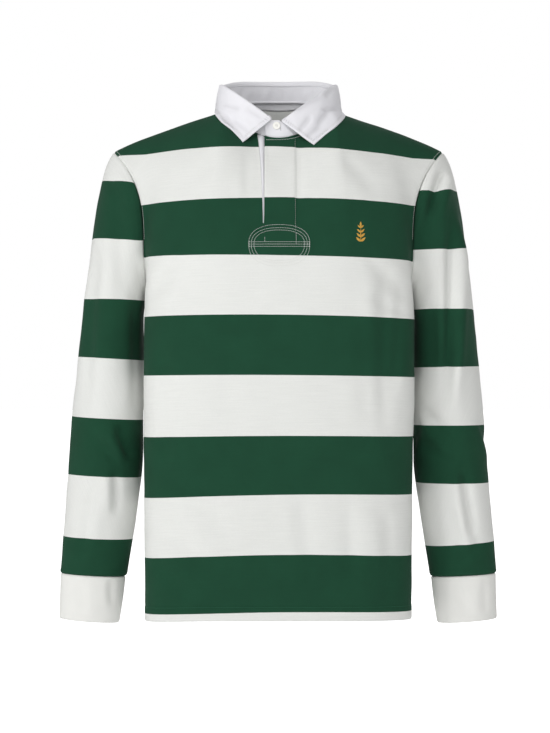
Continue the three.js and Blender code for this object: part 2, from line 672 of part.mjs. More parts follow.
function standCloth() {
  const within = collarAngles.filter((angle) => Math.abs(angle) < STAND_CORNER.from);
  const corner = [STAND_CORNER.from, (STAND_CORNER.from + STAND_END) / 2, STAND_END];
  const angles = [-STAND_END, ...within, ...corner];
  const grid = [0, 0.5, 1].map((share) => angles.map((angle) => {
    const foot = neckFoot(angle).addScaledVector(outward(angle), lapOffset(angle));
    foot.z += SEAM_GAP;
    return foot.lerp(standTop(angle), share);
  }));
  const inward = grid.map(() => angles.map((angle) => outward(angle).negate()));
  return { closed: false, grid, inward };
}

// Places all over the panels near the neck, for what rests there
const nearNeck = [front, back].flatMap((cloth) => range(20).flatMap((j) => range(61).map((i) => (
  onPanel(cloth, ROWS - j / 4, (i - 30) * 4)
))));

// Moves a point out until it is clear of the nearest place on the panels
function liftOff(point) {
  const nearest = nearNeck.reduce((best, place) => (
    place.point.distanceToSquared(point) < best.point.distanceToSquared(point) ? place : best
  ));
  const height = nearest.point.clone().sub(point).dot(nearest.inward);
  return point.clone().addScaledVector(nearest.inward, Math.min(0, height - LEAF_CLEAR));
}

// The leaf's middle surface, from the stand's seam over the roll to the edge
function leafCloth() {
  const within = collarAngles.filter((angle) => angle > LEAF_ENDS.right + 2 && angle < LEAF_ENDS.left - 2);
  const rowsOf = (angle) => {
    const share = (angle - LEAF_ENDS.right) / (LEAF_ENDS.left - LEAF_ENDS.right);
    const fold = foldPoint(angle);
    const out = outward(angle);
    const place = (away, rise) => fold.clone().addScaledVector(out, away).add(vec(0, 0, rise));
    const height = fold.z - seamHeight(angle);
    const rise = place(lapOffset(angle) - LEAF_ROLL, -height);
    const rollHeight = Math.min(LEAF_ROLL, height * LEAF_LEAST_RISE);
    const roll = [180, 135, 90, 45, 0].map((turn) => (
      place(LEAF_ROLL * Math.cos(turn * DEGREE), rollHeight * (Math.sin(turn * DEGREE) - 1))
    ));
    const edge = leafEdgePoint(mix(-LEAF_POINT, LEAF_POINT, share));
    const fall = range(LEAF_ROWS).map((k) => {
      const t = (k + 1) / LEAF_ROWS;
      return roll[4].clone().lerp(edge, t).addScaledVector(out, LEAF_BULGE * Math.sin(t * Math.PI));
    });
    return [rise, ...roll, ...fall.map(liftOff)];
  };
  const byColumn = [LEAF_ENDS.right, ...within, LEAF_ENDS.left].map(rowsOf);
  return makeCloth(byColumn[0].map((_, j) => byColumn.map((column) => column[j])), false);
}

// Four-hole button, its back against the stand
function button() {
  const disc = new THREE.Shape();
  disc.absarc(0, 0, BUTTON.radius - BUTTON.bevel, 0, Math.PI * 2);
  for (const turn of [45, 135, 225, 315]) {
    const hole = new THREE.Path();
    const distance = BUTTON.holeAt * Math.SQRT2;
    const x = distance * Math.cos(turn * DEGREE);
    const y = distance * Math.sin(turn * DEGREE);
    hole.absarc(x, y, BUTTON.holeRadius + BUTTON.bevel, 0, Math.PI * 2, true);
    disc.holes.push(hole);
  }
  const geometry = new THREE.ExtrudeGeometry(disc, {
    depth: BUTTON.thickness - 2 * BUTTON.bevel,
    bevelEnabled: true,
    bevelSize: BUTTON.bevel,
    bevelThickness: BUTTON.bevel,
    bevelSegments: 1,
    curveSegments: 6,
  });
  const mesh = named("button", geometry, COLOURS.button);
  const angle = 180 - Math.asin(BUTTON.x / FOLD.sideX) / DEGREE;
  const foot = neckFoot(angle);
  const top = standTop(angle);
  const y = Math.min(foot.y - lapOffset(angle), top.y);
  mesh.position.set(BUTTON.x, y - LAY_GAP - BUTTON.bevel, BUTTON.z);
  mesh.rotation.x = Math.PI / 2;
  return mesh;
}

const shirt = new THREE.Group();
shirt.add(
  clothWall("front", front, 0, JERSEY, COLOURS.jersey, frontCells(front.grid[0].length)),
  clothWall("back", back, 0, JERSEY, COLOURS.jersey),
);
for (const name of Object.keys(SIDES)) {
  shirt.add(
    clothWall(`sleeve_${name}`, sleeves[name], 0, JERSEY, COLOURS.jersey),
    clothWall(`cuff_${name}`, cuffs[name], 0, JERSEY, COLOURS.white),
  );
}
const overlap = frontStrip(OVERLAP);
const underlap = frontStrip(UNDERLAP);
const inside = JERSEY + LAY_GAP;
shirt.add(
  clothWall("placket", overlap, -LAY_GAP - TWILL, -LAY_GAP, COLOURS.jersey),
  clothWall("placket_facing", underlap, inside, inside + TAPE, COLOURS.twill),
  clothWall("neck_tape", neckTape(), inside, inside + TAPE, COLOURS.twill),
  clothWall("collar_stand", standCloth(), 0, TWILL, COLOURS.twill),
  clothWall("collar_leaf", leafCloth(), -TWILL / 2, TWILL / 2, COLOURS.twill),
  button(),
);

export default shirt;
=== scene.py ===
"""A long-sleeved rugby shirt, filled out as if worn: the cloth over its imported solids.

Sizes are millimetres until a mesh is made. +Z is up, the front faces -Y, +X is the wearer's left, and the
origin lies inside the neck."""

import math

import bpy
import numpy as np
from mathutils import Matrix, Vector
from mathutils.bvhtree import BVHTree


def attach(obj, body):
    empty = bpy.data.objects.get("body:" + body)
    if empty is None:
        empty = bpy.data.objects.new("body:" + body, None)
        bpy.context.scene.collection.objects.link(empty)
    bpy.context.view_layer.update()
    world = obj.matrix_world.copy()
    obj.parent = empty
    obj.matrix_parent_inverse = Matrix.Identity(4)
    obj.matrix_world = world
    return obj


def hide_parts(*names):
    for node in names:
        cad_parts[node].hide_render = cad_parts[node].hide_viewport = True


MM = 0.001
DEGREE = math.pi / 180


def table(names, rows):
    """Columns of a table by name"""
    return dict(zip(names.split(), np.array(rows, float).T))


# Form of the shirt, as in the solids
BODY = table("z right left front back", [
    [-714, 188.7, 188.7, 119, 121],
    [-610, 189.2, 188.9, 121, 118],
    [-500, 190.4, 190.0, 124, 116],
    [-390, 190.6, 192.0, 129, 121],
    [-280, 190.6, 193.0, 131, 130],
])
BODY_STEPS = 3
WIDEST_Y = -48
FRONT_ROUNDNESS = 2.6
BACK_ROUNDNESS = 1.9
SIDE_SEAM_ANGLE = 18.5
HEM_DROP_RIGHT, HEM_DROP_LEFT = 6, 3
NECK_SIDE = np.array([72, 10, 8.0])
SHOULDER_END = np.array([237, 5, -53.0])
SHOULDER_SLOPE = 0.335
SHOULDER_DROOP = 6
NECK_FRONT_Y, NECK_FRONT_Z = -60, -38.5
NECK_BACK_Y, NECK_BACK_Z = 74, 29
NECK_DIP = 0.9
NECK_SHARE = 0.404
FRONT_ROLL = 0.35
BACK_ROLL = 0.5
RISE = 1.7
SWELL_FRONT = 6
SWELL_BACK = 7
ARMHOLE_PULL = 3
SLEEVE = table("outer_x outer_z inner_x inner_z mid_y depth bend", [
    [237.0, -53, 182.5, -262, 5, 62, 30],
    [244.5, -68, 189.5, -264.5, 5, 64, 22],
    [250.5, -85, 191.5, -274, 6, 65, 12],
    [262.0, -133, 193.5, -287, 8, 67, 3],
    [269.5, -180, 194.0, -300, 9, 68, 0],
    [277.0, -233, 194.0, -315, 11, 68, 0],
    [283.5, -291, 194.0, -334, 13, 67, 0],
    [289.5, -355, 194.0, -367, 15, 65, 0],
    [296.3, -435, 194.0, -437, 13, 61, 0],
    [301.0, -497, 194.4, -499, 8, 56, 0],
    [305.2, -552, 201.5, -555, 2, 49, 0],
    [309.4, -607, 209.5, -611, -3, 41, 0],
    [313.3, -657, 217.3, -662, -6, 33, 0],
])
CUFF = table("outer_x outer_z inner_x inner_z mid_y depth bend", [
    [312.0, -656.5, 218.8, -661.8, -6, 31.5, 0],
    [312.6, -690, 222.6, -696, -7, 30, 0],
    [313.6, -722, 227.6, -728.5, -8, 27.5, 0],
])
HALF_AROUND = 11
BEND_HIGH = 0.62
SLEEVE_CLEAR = 0.3
CHEST_LEVEL = len(BODY["z"]) - 1
LOWER_ROWS = CHEST_LEVEL * BODY_STEPS
UPPER_ROWS = HALF_AROUND + 1
ROWS = LOWER_ROWS + UPPER_ROWS

# Sampling: steps between places on a piece, in its own rows or shares, and places near its edges
ROW_STEP = 0.1
UPPER_ROW_STEP = 0.15
SHARE_STEP = 1 / 76
EDGE_SHARES = (0.0032, 0.0065, 0.0105)
EDGE_ROWS = (0.03, 0.07, 0.13)
HEM_ROWS = (0.012, 0.03, 0.06)
STRIP_STEP, STRIP_EDGE_ROWS = 0.14, (0.03, 0.07, 0.12)
SLEEVE_ROW_STEP, SLEEVE_EDGE_ROWS = 1 / 14, (0.03, 0.07, 0.13)
CUFF_ROW_STEP, CUFF_EDGE_ROWS = 1 / 12, (0.02, 0.05, 0.09)
AROUND, AROUND_EDGES = 104, (0.8, 1.8, 3.2)
SLIT_REACH, SLIT_PROBE = 0.2, 0.0857
SLIT_COLUMNS_RIGHT, SLIT_COLUMNS_LEFT = 12, 22

# Smoothing: weight and passes, over the chest's rows and across the rows above it, clear of the seams
SMOOTHING = 0.9
CHEST_SPREAD, CHEST_PASSES = 0.8, 40
SEAM_KEPT, SEAM_REACH, UPPER_PASSES = 6, 30, 60

# Thickness of the cloth, how seams roll in, and how far a folded edge stands out
JERSEY = 1.3
TWILL = 1.3
CUFF_THICKNESS = 2.2
TAPE_THICKNESS = 0.9
OVERLAP_THICKNESS = 1.2
LEAF_THICKNESS = 1.6
SEAM_ROLL = 2.6
SEAM_ROLL_WIDTH = 3.4
FOLD_PROUD = 0.35

# Placket: the slit's edges, and the overlap and the underlap
SLIT_RIGHT_TOP, SLIT_RIGHT_FOOT = -30.5, -22.8
SLIT_LEFT_TOP, SLIT_LEFT_FOOT = -12, -21.4
SLIT_ROWS = 7.2
SLIT_BOW = 1.7
OVERLAP_EDGE = -19.5
OVERLAP_STITCH = 23.5
OVERLAP_END = 27.5
OVERLAP_FOOT_ROWS = 8.6
OVERLAP_PROUD = 2.1
FACING_RIGHT, FACING_LEFT = -37, 18
FACING_DEPTH, FACING_BULGE = -1.45, 2.2
FACING_ROWS = 8.0
STRIP_TOP_GAP = 0.02

# Collar: angles run from the centre back, and 180 is the centre front
FOLD = dict(side_x=83, side_y=8, back_y=70, front_y=-64, back_z=57, side_z=44, front_z=-19)
LEAF_RIGHT_END, LEAF_LEFT_END = -173.2, 176.8
LEAF_ROLL = 2.6
LEAF_RISE = 7
LEAF_EDGE = dict(side_x=91, side_y=10, back_y=88, point_y=-72, back_z=12)
LEAF_SIDE_Z = 4
LEAF_SLOPE = dict(right=1, left=0.8)
LEAF_POINT_Z = dict(right=-46, left=-50.5)
LEAF_POINT = 147
LEAF_CLEAR = 2.2
LEAF_CLIMB = 0.75
LEAF_BULGE = 2
LEAF_COLUMNS = 400
LEAF_FALL_ROWS = 34
LEAF_ROLL_ROWS = 17
LEAF_STITCH = 6
PUCKER = 1.05
PUCKER_PITCH = 3.7
STAND_END = 194.2
STAND_RISE = 3.4
STAND_LAP_TOP = -17.8
STAND_LAP_FROM, STAND_LAP_TO, STAND_LAP_SPREAD = 140, 165, 0.85
STAND_CORNER, STAND_CORNER_DROP = 187, 7
SEAM_SLACK = 0.2
STAND_COLUMNS, STAND_END_COLUMNS = 190, 10
STAND_OUT, STAND_DOWN = 0.5, 0.6
LEAF_SMOOTHING = 12

# Lines of sight onto the cloth start this far out from it, or at this Y
LOOK_FROM, SIGHT_Y = 60, -400

# Neck tape: its share of the back neck, its rows, and how its upper edge turns up
TAPE_SHARE, TAPE_ROWS, TAPE_CLEAR = 0.86, 0.93, 0.1
TAPE_TOP = (0, 0.5, 3.2)

# Button
BUTTON_FACE, BUTTON_FACE_RADIUS = 1.35, 3.7
# Rings of the button's rim, from its face out and round to its back: radius and height
BUTTON_RIM = [
    (4.0, 1.6), (4.4, 1.8), (4.8, 1.75), (5.15, 1.5), (5.4, 1.05), (5.35, 0.6), (5.0, 0.2), (4.4, 0),
]
BUTTON_SIDES = 96
BUTTON_HOLE_AT, BUTTON_HOLE_RADIUS, BUTTON_HOLE_DEPTH = 1.15, 0.62, 1.1
BUTTON_X, BUTTON_Z = -2.5, -22.0
BUTTONHOLE_X, BUTTONHOLE_Z = (2.9, 3.6), (-24.2, -29)

# Stripe boundaries on the body, from the hem band up: heights at the right side, the centre of the
# front, the left side and the centre of the back. The sides' heights are for X at the reach.
BODY_STRIPES = table("number right front left back", [
    [-1, -796, -786, -792, -785],
    [0, -709, -701.2, -704.7, -700.5],
    [1, -630.6, -621.8, -626.8, -622],
    [2, -546.2, -538.6, -540.9, -539],
    [3, -460.5, -457.1, -459.4, -457],
    [4, -374.2, -373.1, -376.3, -373],
    [5, -291.7, -289.9, -295.0, -290],
    [6, -207.3, -207.8, -213.1, -209],
    [7, -133.5, -127.3, -134.4, -132],
    [8, -59.9, -53.4, -66.0, -66],
    [9, 20.0, 28.0, 11.0, -13],
    [10, 100.0, 110.0, 91.0, 48],
])
STRIPE_REACH = 190
# The back's white comes a little way over the left shoulder
SHOULDER_WHITE, SHOULDER_WHITE_END = 3.2, 116
WHITE_NUMBER = 9.5
# Stripe boundaries on the sleeves, from the top down: heights at the outer and the inner edge
SLEEVE_STRIPES = {
    "right": table("number outer inner", [
        [0, -95.0, -103.9], [1, -178.5, -184.4], [2, -264.9, -267.1], [3, -347.3, -352.6],
        [4, -432.9, -438.0], [5, -515.5, -520.1], [6, -604.1, -608.5], [7, -690.0, -694.0],
    ]),
    "left": table("number outer inner", [
        [0, -110.1, -112.6], [1, -193.6, -197.1], [2, -279.5, -279.8], [3, -361.1, -362.8],
        [4, -445.0, -445.3], [5, -527.7, -527.7], [6, -611.2, -618.2], [7, -695.0, -701.0],
    ]),
}

# Creases of each piece, by the side they are seen from: three points of a curve (across, height), half
# widths at both ends, depth, and the share of the depth that rises beside the trough (its sign says on
# which side)
CREASES = {
    "front": {
        "front": [
            ((150, -215), (144, -330), (148, -462), 13, 10, 3.6, 0.5),
            ((172, -250), (166, -330), (158, -420), 9, 7, 2.2, -0.5),
            ((120, -300), (126, -380), (121, -450), 14, 12, 1.8, 0.4),
            ((182, -262), (150, -238), (118, -212), 9, 12, 3.2, 0.5),
            ((184, -285), (156, -282), (128, -262), 8, 10, 2.0, -0.4),
            ((30, -540), (38, -600), (45, -672), 12, 12, 1.9, 0.4),
            ((94, -540), (103, -610), (98, -680), 14, 12, 2.6, -0.5),
            ((150, -560), (156, -620), (152, -690), 10, 10, 1.8, 0.5),
            ((-182, -262), (-150, -232), (-122, -205), 9, 12, 3.0, -0.5),
            ((-184, -292), (-158, -280), (-132, -262), 8, 10, 1.8, 0.4),
            ((-162, -330), (-150, -420), (-158, -520), 12, 10, 2.2, 0.4),
            ((-168, -560), (-140, -600), (-96, -655), 12, 14, 2.4, -0.4),
            ((-120, -520), (-96, -570), (-60, -600), 14, 15, 1.7, 0.4),
            ((-176, -630), (-150, -655), (-118, -690), 9, 10, 1.8, 0.4),
            ((-70, -330), (-62, -400), (-68, -470), 16, 16, 1.3, 0.3),
            ((86, -60), (120, -96), (146, -120), 10, 14, 1.6, 0.4),
            ((-82, -62), (-112, -92), (-142, -122), 10, 14, 1.6, -0.4),
            ((31, -52), (30, -95), (30, -140), 5, 5, 1.3, -0.3),
            ((-44, -60), (-47, -90), (-42, -130), 7, 6, 0.9, 0.4),
        ],
    },
    "back": {
        "back": [
            ((-66, -210), (-84, -400), (-92, -640), 15, 18, 6.5, 0.5),
            ((88, -260), (70, -430), (64, -680), 14, 18, 6.0, -0.5),
            ((4, -330), (12, -470), (2, -600), 18, 18, 2.6, 0.4),
            ((-132, -360), (-138, -500), (-130, -660), 13, 14, 3.4, 0.5),
            ((140, -400), (134, -520), (142, -680), 12, 14, 3.0, -0.4),
            ((-172, -258), (-138, -216), (-96, -172), 11, 15, 5.5, 0.5),
            ((174, -262), (140, -212), (98, -166), 11, 15, 5.5, -0.5),
            ((-176, -300), (-140, -272), (-104, -244), 9, 12, 2.8, -0.5),
            ((176, -306), (142, -276), (110, -250), 9, 12, 2.6, 0.5),
        ],
    },
    "sleeve_left": {
        "front": [
            ((247, -150), (243, -290), (238, -428), 9, 8, 9.5, -0.75),
            ((222, -240), (216, -300), (220, -372), 8, 8, 2.4, -0.5),
            ((236, -80), (226, -108), (210, -150), 7, 9, 8.5, -0.6),
            ((226, -118), (214, -146), (203, -176), 6, 7, 3.2, 0.5),
            ((262, -505), (271, -560), (278, -615), 8, 8, 6.2, 0.6),
            ((242, -560), (256, -600), (262, -640), 8, 8, 2.4, -0.5),
            ((204, -420), (224, -446), (250, -462), 7, 10, 3.6, 0.5),
            ((206, -470), (230, -492), (256, -500), 7, 9, 2.6, -0.5),
            ((290, -600), (276, -628), (250, -644), 7, 8, 2.0, 0.5),
        ],
        "back": [
            ((250, -270), (236, -350), (216, -440), 12, 10, 6.0, 0.5),
            ((272, -420), (256, -470), (238, -540), 10, 9, 4.4, -0.5),
            ((210, -430), (236, -452), (270, -452), 8, 10, 4.6, 0.5),
            ((216, -490), (240, -512), (276, -508), 7, 9, 3.4, 0.5),
            ((236, -110), (226, -150), (222, -215), 9, 12, 4.0, 0.5),
            ((262, -580), (276, -610), (282, -645), 8, 8, 2.6, 0.4),
        ],
        "side": [
            ((-20, -120), (-8, -230), (4, -330), 14, 12, 2.6, 0.4),
            ((34, -360), (22, -440), (4, -520), 12, 10, 3.6, -0.4),
            ((-24, -430), (-8, -470), (20, -486), 9, 10, 2.8, 0.4),
        ],
    },
    "sleeve_right": {
        "front": [
            ((-259, -180), (-270, -300), (-276, -430), 11, 10, 5.0, 0.5),
            ((-232, -118), (-222, -190), (-224, -290), 12, 11, 3.0, -0.4),
            ((-204, -262), (-201, -350), (-206, -436), 7, 7, 3.2, 0.4),
            ((-208, -492), (-222, -470), (-226, -440), 7, 8, 6.8, -0.6),
            ((-224, -500), (-250, -474), (-268, -462), 7, 10, 3.0, 0.5),
            ((-231, -510), (-228, -540), (-231, -575), 7, 7, 4.4, 0.6),
            ((-262, -520), (-274, -580), (-280, -640), 9, 8, 2.8, -0.4),
            ((-244, -92), (-234, -110), (-218, -138), 8, 10, 2.4, -0.4),
        ],
        "back": [
            ((-250, -290), (-238, -360), (-220, -446), 12, 10, 6.0, -0.5),
            ((-270, -440), (-252, -486), (-236, -560), 10, 9, 4.2, 0.5),
            ((-212, -440), (-240, -462), (-272, -458), 8, 10, 4.4, -0.5),
            ((-232, -112), (-224, -152), (-220, -212), 9, 12, 4.0, -0.5),
            ((-258, -590), (-272, -618), (-284, -650), 8, 8, 2.4, 0.4),
        ],
        "side": [
            ((-10, -140), (0, -240), (10, -340), 14, 12, 2.4, 0.4),
            ((30, -380), (16, -450), (-2, -540), 12, 10, 3.4, 0.4),
        ],
    },
    "collar_leaf": {
        "front": [
            ((29, -31), (36, -22), (47, -6), 4, 5, 1.5, 0.5),
            ((54, -22), (62, -8), (74, 8), 4, 5, 1.4, -0.5),
            ((38, -40), (48, -32), (62, -20), 4, 4, 1.1, 0.5),
            ((58, 2), (72, 6), (86, 4), 3, 4, 1.2, 0.5),
            ((24, -2), (40, 14), (62, 24), 4, 6, 1.6, -0.4),
            ((66, 20), (72, 30), (76, 40), 4, 5, 1.2, 0.4),
            ((-80, 12), (-66, 6), (-52, 2), 4, 4, 0.8, 0.4),
            ((-66, -14), (-52, -22), (-38, -35), 4, 4, 0.8, -0.4),
            ((-48, 4), (-34, -4), (-20, -14), 4, 4, 0.6, 0.4),
        ],
        "back": [
            ((-50, 46), (-44, 34), (-48, 20), 5, 5, 1.0, 0.4),
            ((6, 50), (10, 36), (4, 20), 6, 6, 0.9, -0.4),
            ((52, 46), (44, 32), (50, 18), 5, 5, 1.1, 0.4),
        ],
    },
    "collar_stand": {
        "back": [
            ((-62, 14), (-56, 30), (-64, 46), 4, 4, 1.3, 0.5),
            ((-46, 16), (-49, 32), (-42, 48), 4, 5, 1.0, -0.5),
            ((-20, 26), (-14, 38), (-18, 50), 5, 5, 0.8, 0.5),
            ((14, 26), (20, 38), (12, 50), 5, 5, 0.7, -0.5),
            ((44, 18), (38, 34), (46, 48), 4, 5, 1.1, 0.5),
            ((60, 14), (66, 28), (60, 44), 4, 4, 1.0, 0.5),
        ],
    },
    "cuff_left": {
        "front": [
            ((296, -664), (292, -690), (297, -718), 6, 6, 1.2, 0.4),
            ((246, -668), (262, -690), (270, -716), 8, 8, 1.4, -0.4),
        ],
        "back": [
            ((250, -668), (256, -694), (250, -716), 8, 8, 1.5, 0.4),
        ],
    },
    "cuff_right": {
        "front": [
            ((-238, -664), (-240, -684), (-236, -704), 5, 5, 1.6, 0.4),
            ((-284, -668), (-276, -690), (-280, -716), 8, 8, 1.2, -0.4),
        ],
        "back": [
            ((-262, -668), (-258, -694), (-264, -716), 8, 8, 1.5, 0.4),
        ],
    },
}
CREASE_STEPS = 40
RIDGE_AT, RIDGE_WIDTH, CREASE_END = 1.75, 1.1, 1.3

# Slow swells: their height, their sizes and the seeds of their random waves
UNEVEN = {"front": 0.7, "back": 0.9, "sleeve": 0.8, "cuff": 0.35, "collar": 0.45}
CLOTH_SWELLS, COLLAR_SWELLS = (95, 34), (42, 17)
SEEDS = {"front": 11, "back": 23, "left": 31, "right": 47, "collar": 61}
CUFF_SEED = 5

# Sewing
THREAD = 0.25
STITCH_PITCH, DENSE_PITCH, COLLAR_PITCH = 2.9, 2.4, 2.6
FINE_THREAD, SATIN_THREAD, THICK_THREAD = 0.17, 0.22, 0.3
STITCH_SIDES = 6
# Rings of a stitch: place along it, height and width
STITCH_RINGS = [(-0.5, -0.5, 0.6), (-0.3, 0.5, 1), (0, 0.9, 1), (0.3, 0.5, 1), (0.5, -0.5, 0.6)]
TOPSTITCH = 2.2
TAPE_STITCH = 2.0
HEM_STITCH = 20.0
ARMHOLE_STITCH, ARMHOLE_FROM = 5.0, 5.5
OVAL_X, OVAL_Z = 1.2, -192.4
OVAL = table("half_width above below", [[42.1, 26.9, 30.6], [38.6, 22.6, 26.4], [34.8, 19.4, 23.0]])
OVAL_SQUARENESS = 2.4
BAR_ROWS, BAR_INSET, BAR_END = (3.0, -0.2, -3.4), 0.4, 4.6
SPRIG_X, SPRIG_Z, SPRIG_HEIGHT, SPRIG_PAIRS = 114, -174.6, 28, 4
SATIN_STEP = 0.42
NECK_STITCH = table("x z", [[-17.5, -42.2], [0, -42.0], [14, -41.2], [24, -39.0], [36, -33.5]])

# Knit: width of a column of loops, and height of a loop
WALE, COURSE = 1.15, 0.85

# Colours
GREEN = (0.0086, 0.0550, 0.0274)
WHITE = (0.760, 0.768, 0.742)
CUFF_WHITE = (0.775, 0.775, 0.745)
TWILL_WHITE = (0.835, 0.83, 0.865)
THREAD_WHITE = (0.63, 0.64, 0.62)
THREAD_GREEN = (0.022, 0.105, 0.058)
THREAD_GOLD = (0.62, 0.36, 0.07)
THREAD_GREY = (0.36, 0.36, 0.37)
BUTTON_WHITE = (0.80, 0.79, 0.75)

# Stage, in metres. Lights have a place, a size and a power.
FLOOR_Z, FLOOR_HALF = -1.05, 30.0
FLOOR_LIGHT = 0.25
WORLD_LIGHT = 0.36
LIGHTS = [
    ("key_light", (-3.4, -2.5, 0.9), (1.1, 1.7), 60),
    ("top_light", (-0.2, -2.6, 1.3), (1.4, 1.0), 25),
    ("fill_light", (0.7, -3.0, 0.35), (0.9, 0.9), 10),
    ("back_light", (1.6, 3.0, 1.0), (1.8, 1.6), 30),
]
CAMERA = (-0.0047, -3.0, -0.3614)
LENS = 102.37

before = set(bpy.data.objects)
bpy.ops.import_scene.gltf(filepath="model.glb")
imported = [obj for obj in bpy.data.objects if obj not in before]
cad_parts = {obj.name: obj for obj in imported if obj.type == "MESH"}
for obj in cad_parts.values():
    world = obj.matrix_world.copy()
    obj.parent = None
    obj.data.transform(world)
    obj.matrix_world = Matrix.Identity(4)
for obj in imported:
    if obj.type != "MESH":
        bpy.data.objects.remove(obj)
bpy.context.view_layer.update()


# Reading of the tables and the shirt's form

def mix(a, b, t):
    return a + (b - a) * t


def clamp01(t):
    return np.clip(t, 0, 1)


def ease(t):
    return t * t * (3 - 2 * t)


def bell(t, middle, width):
    """1 at the middle, and falling off on both sides"""
    return np.exp(-(((t - middle) / width) ** 2))


def rounded(distance, width):
    """1 at an edge, and falling off over a width inside it"""
    return clamp01(1 - distance / width) ** 2


def signed_power(t, power):
    return np.sign(t) * np.abs(t) ** power


def sine_cosine(angle):
    return np.sin(angle * DEGREE), np.cos(angle * DEGREE)


def points(x, y, z):
    return np.stack(np.broadcast_arrays(x, y, z), axis=-1).astype(float)


def unit(v):
    return v / np.maximum(np.linalg.norm(v, axis=-1, keepdims=True), 1e-9)


def read_row(rows, at):
    """Smooth reading of a table at fractional rows"""
    at = np.asarray(at, float)
    last = len(next(iter(rows.values()))) - 1
    low = np.clip(np.floor(at).astype(int), 0, last - 1)
    t = at - low
    read = {}
    for name, column in rows.items():
        a, b = column[low], column[low + 1]
        slope_a = np.where(low == 0, b - a, (b - column[np.maximum(low - 1, 0)]) / 2)
        slope_b = np.where(low == last - 1, b - a, (column[np.minimum(low + 2, last)] - a) / 2)
        curve = (1 - t) * slope_a - t * slope_b - (1 - 2 * t) * (b - a)
        read[name] = mix(a, b, t) + t * (1 - t) * curve
    return read


def body_points(level, angle):
    row = read_row(BODY, level)
    sine, cosine = sine_cosine(angle)
    power = 2 / np.where(cosine >= 0, FRONT_ROUNDNESS, BACK_ROUNDNESS)
    width = np.where(sine > 0, row["left"], row["right"])
    depth = np.where(cosine >= 0, row["front"] + WIDEST_Y, row["back"] - WIDEST_Y)
    share = signed_power(sine, power)
    drop = np.where(sine > 0, HEM_DROP_LEFT, HEM_DROP_RIGHT)
    tilt = -drop * np.abs(share) ** 3 * (1 - level / CHEST_LEVEL)
    return points(width * share, WIDEST_Y - depth * signed_power(cosine, power), row["z"] + tilt)


def distances(line):
    """Length along a line of points, up to each of them"""
    return np.concatenate([[0], np.cumsum(np.linalg.norm(np.diff(line, axis=0), axis=1))])


def read_line(line, lengths, at):
    return np.stack([np.interp(at, lengths, line[:, k]) for k in range(3)], axis=-1)


def half_level(is_front, level, share):
    """Half a level between the side seams, read evenly by share: -1 at the right seam, 1 at the left"""
    reach = 90 + SIDE_SEAM_ANGLE if is_front else 90 - SIDE_SEAM_ANGLE
    turn = np.linspace(-reach, reach, 721)
    line = body_points(level, turn if is_front else 180 - turn)
    lengths = distances(line)
    return read_line(line, lengths, (share + 1) / 2 * lengths[-1])


def neck_points(angle):
    """Neck seam: angle 0 is the centre front, 90 the left, 180 the centre back"""
    sine, cosine = sine_cosine(angle)
    ahead = cosine > 0
    climb = np.where(ahead, np.abs(cosine) ** (2 * NECK_DIP), ease(clamp01(-cosine)))
    y = mix(NECK_SIDE[1], np.where(ahead, NECK_FRONT_Y, NECK_BACK_Y), np.abs(cosine))
    z = mix(NECK_SIDE[2], np.where(ahead, NECK_FRONT_Z, NECK_BACK_Z), climb)
    return points(NECK_SIDE[0] * sine, y, z)


def top_points(is_front, share):
    """Upper edge of a panel: shoulder seam, neck seam, shoulder seam"""
    size = np.abs(share)
    angle = 90 * share / NECK_SHARE
    neck = neck_points(angle if is_front else 180 - angle)
    along = clamp01((size - NECK_SHARE) / (1 - NECK_SHARE))
    width = SHOULDER_END[0] - NECK_SIDE[0]
    droop = SHOULDER_END[2] - NECK_SIDE[2] + SHOULDER_SLOPE * width
    z = NECK_SIDE[2] - SHOULDER_SLOPE * width * along + droop * along ** SHOULDER_DROOP
    x = np.sign(share) * (NECK_SIDE[0] + width * along)
    shoulder = points(x, mix(NECK_SIDE[1], SHOULDER_END[1], along), z)
    return np.where((size < NECK_SHARE)[:, None], neck, shoulder)


def tube_points(rows, at, angle, side):
    """Section of a sleeve or cuff: angle 0 is outside, 90 in front, 180 inside"""
    row = read_row(rows, at)
    sine, cosine = sine_cosine(angle)
    bend = row["bend"] * sine * sine * BEND_HIGH * (1 + cosine)
    share = (1 - cosine) / 2
    x = mix(row["outer_x"], row["inner_x"], share) - bend
    return points(side * x, row["mid_y"] - row["depth"] * sine, mix(row["outer_z"], row["inner_z"], share))


def armhole_point(is_front, side, step):
    around = 180 * (UPPER_ROWS - max(step, 1)) / HALF_AROUND
    foot = tube_points(SLEEVE, 0, np.array(around if is_front else -around), side)
    if step >= 1:
        return foot
    return mix(half_level(is_front, CHEST_LEVEL, np.array([side]))[0], foot, step)


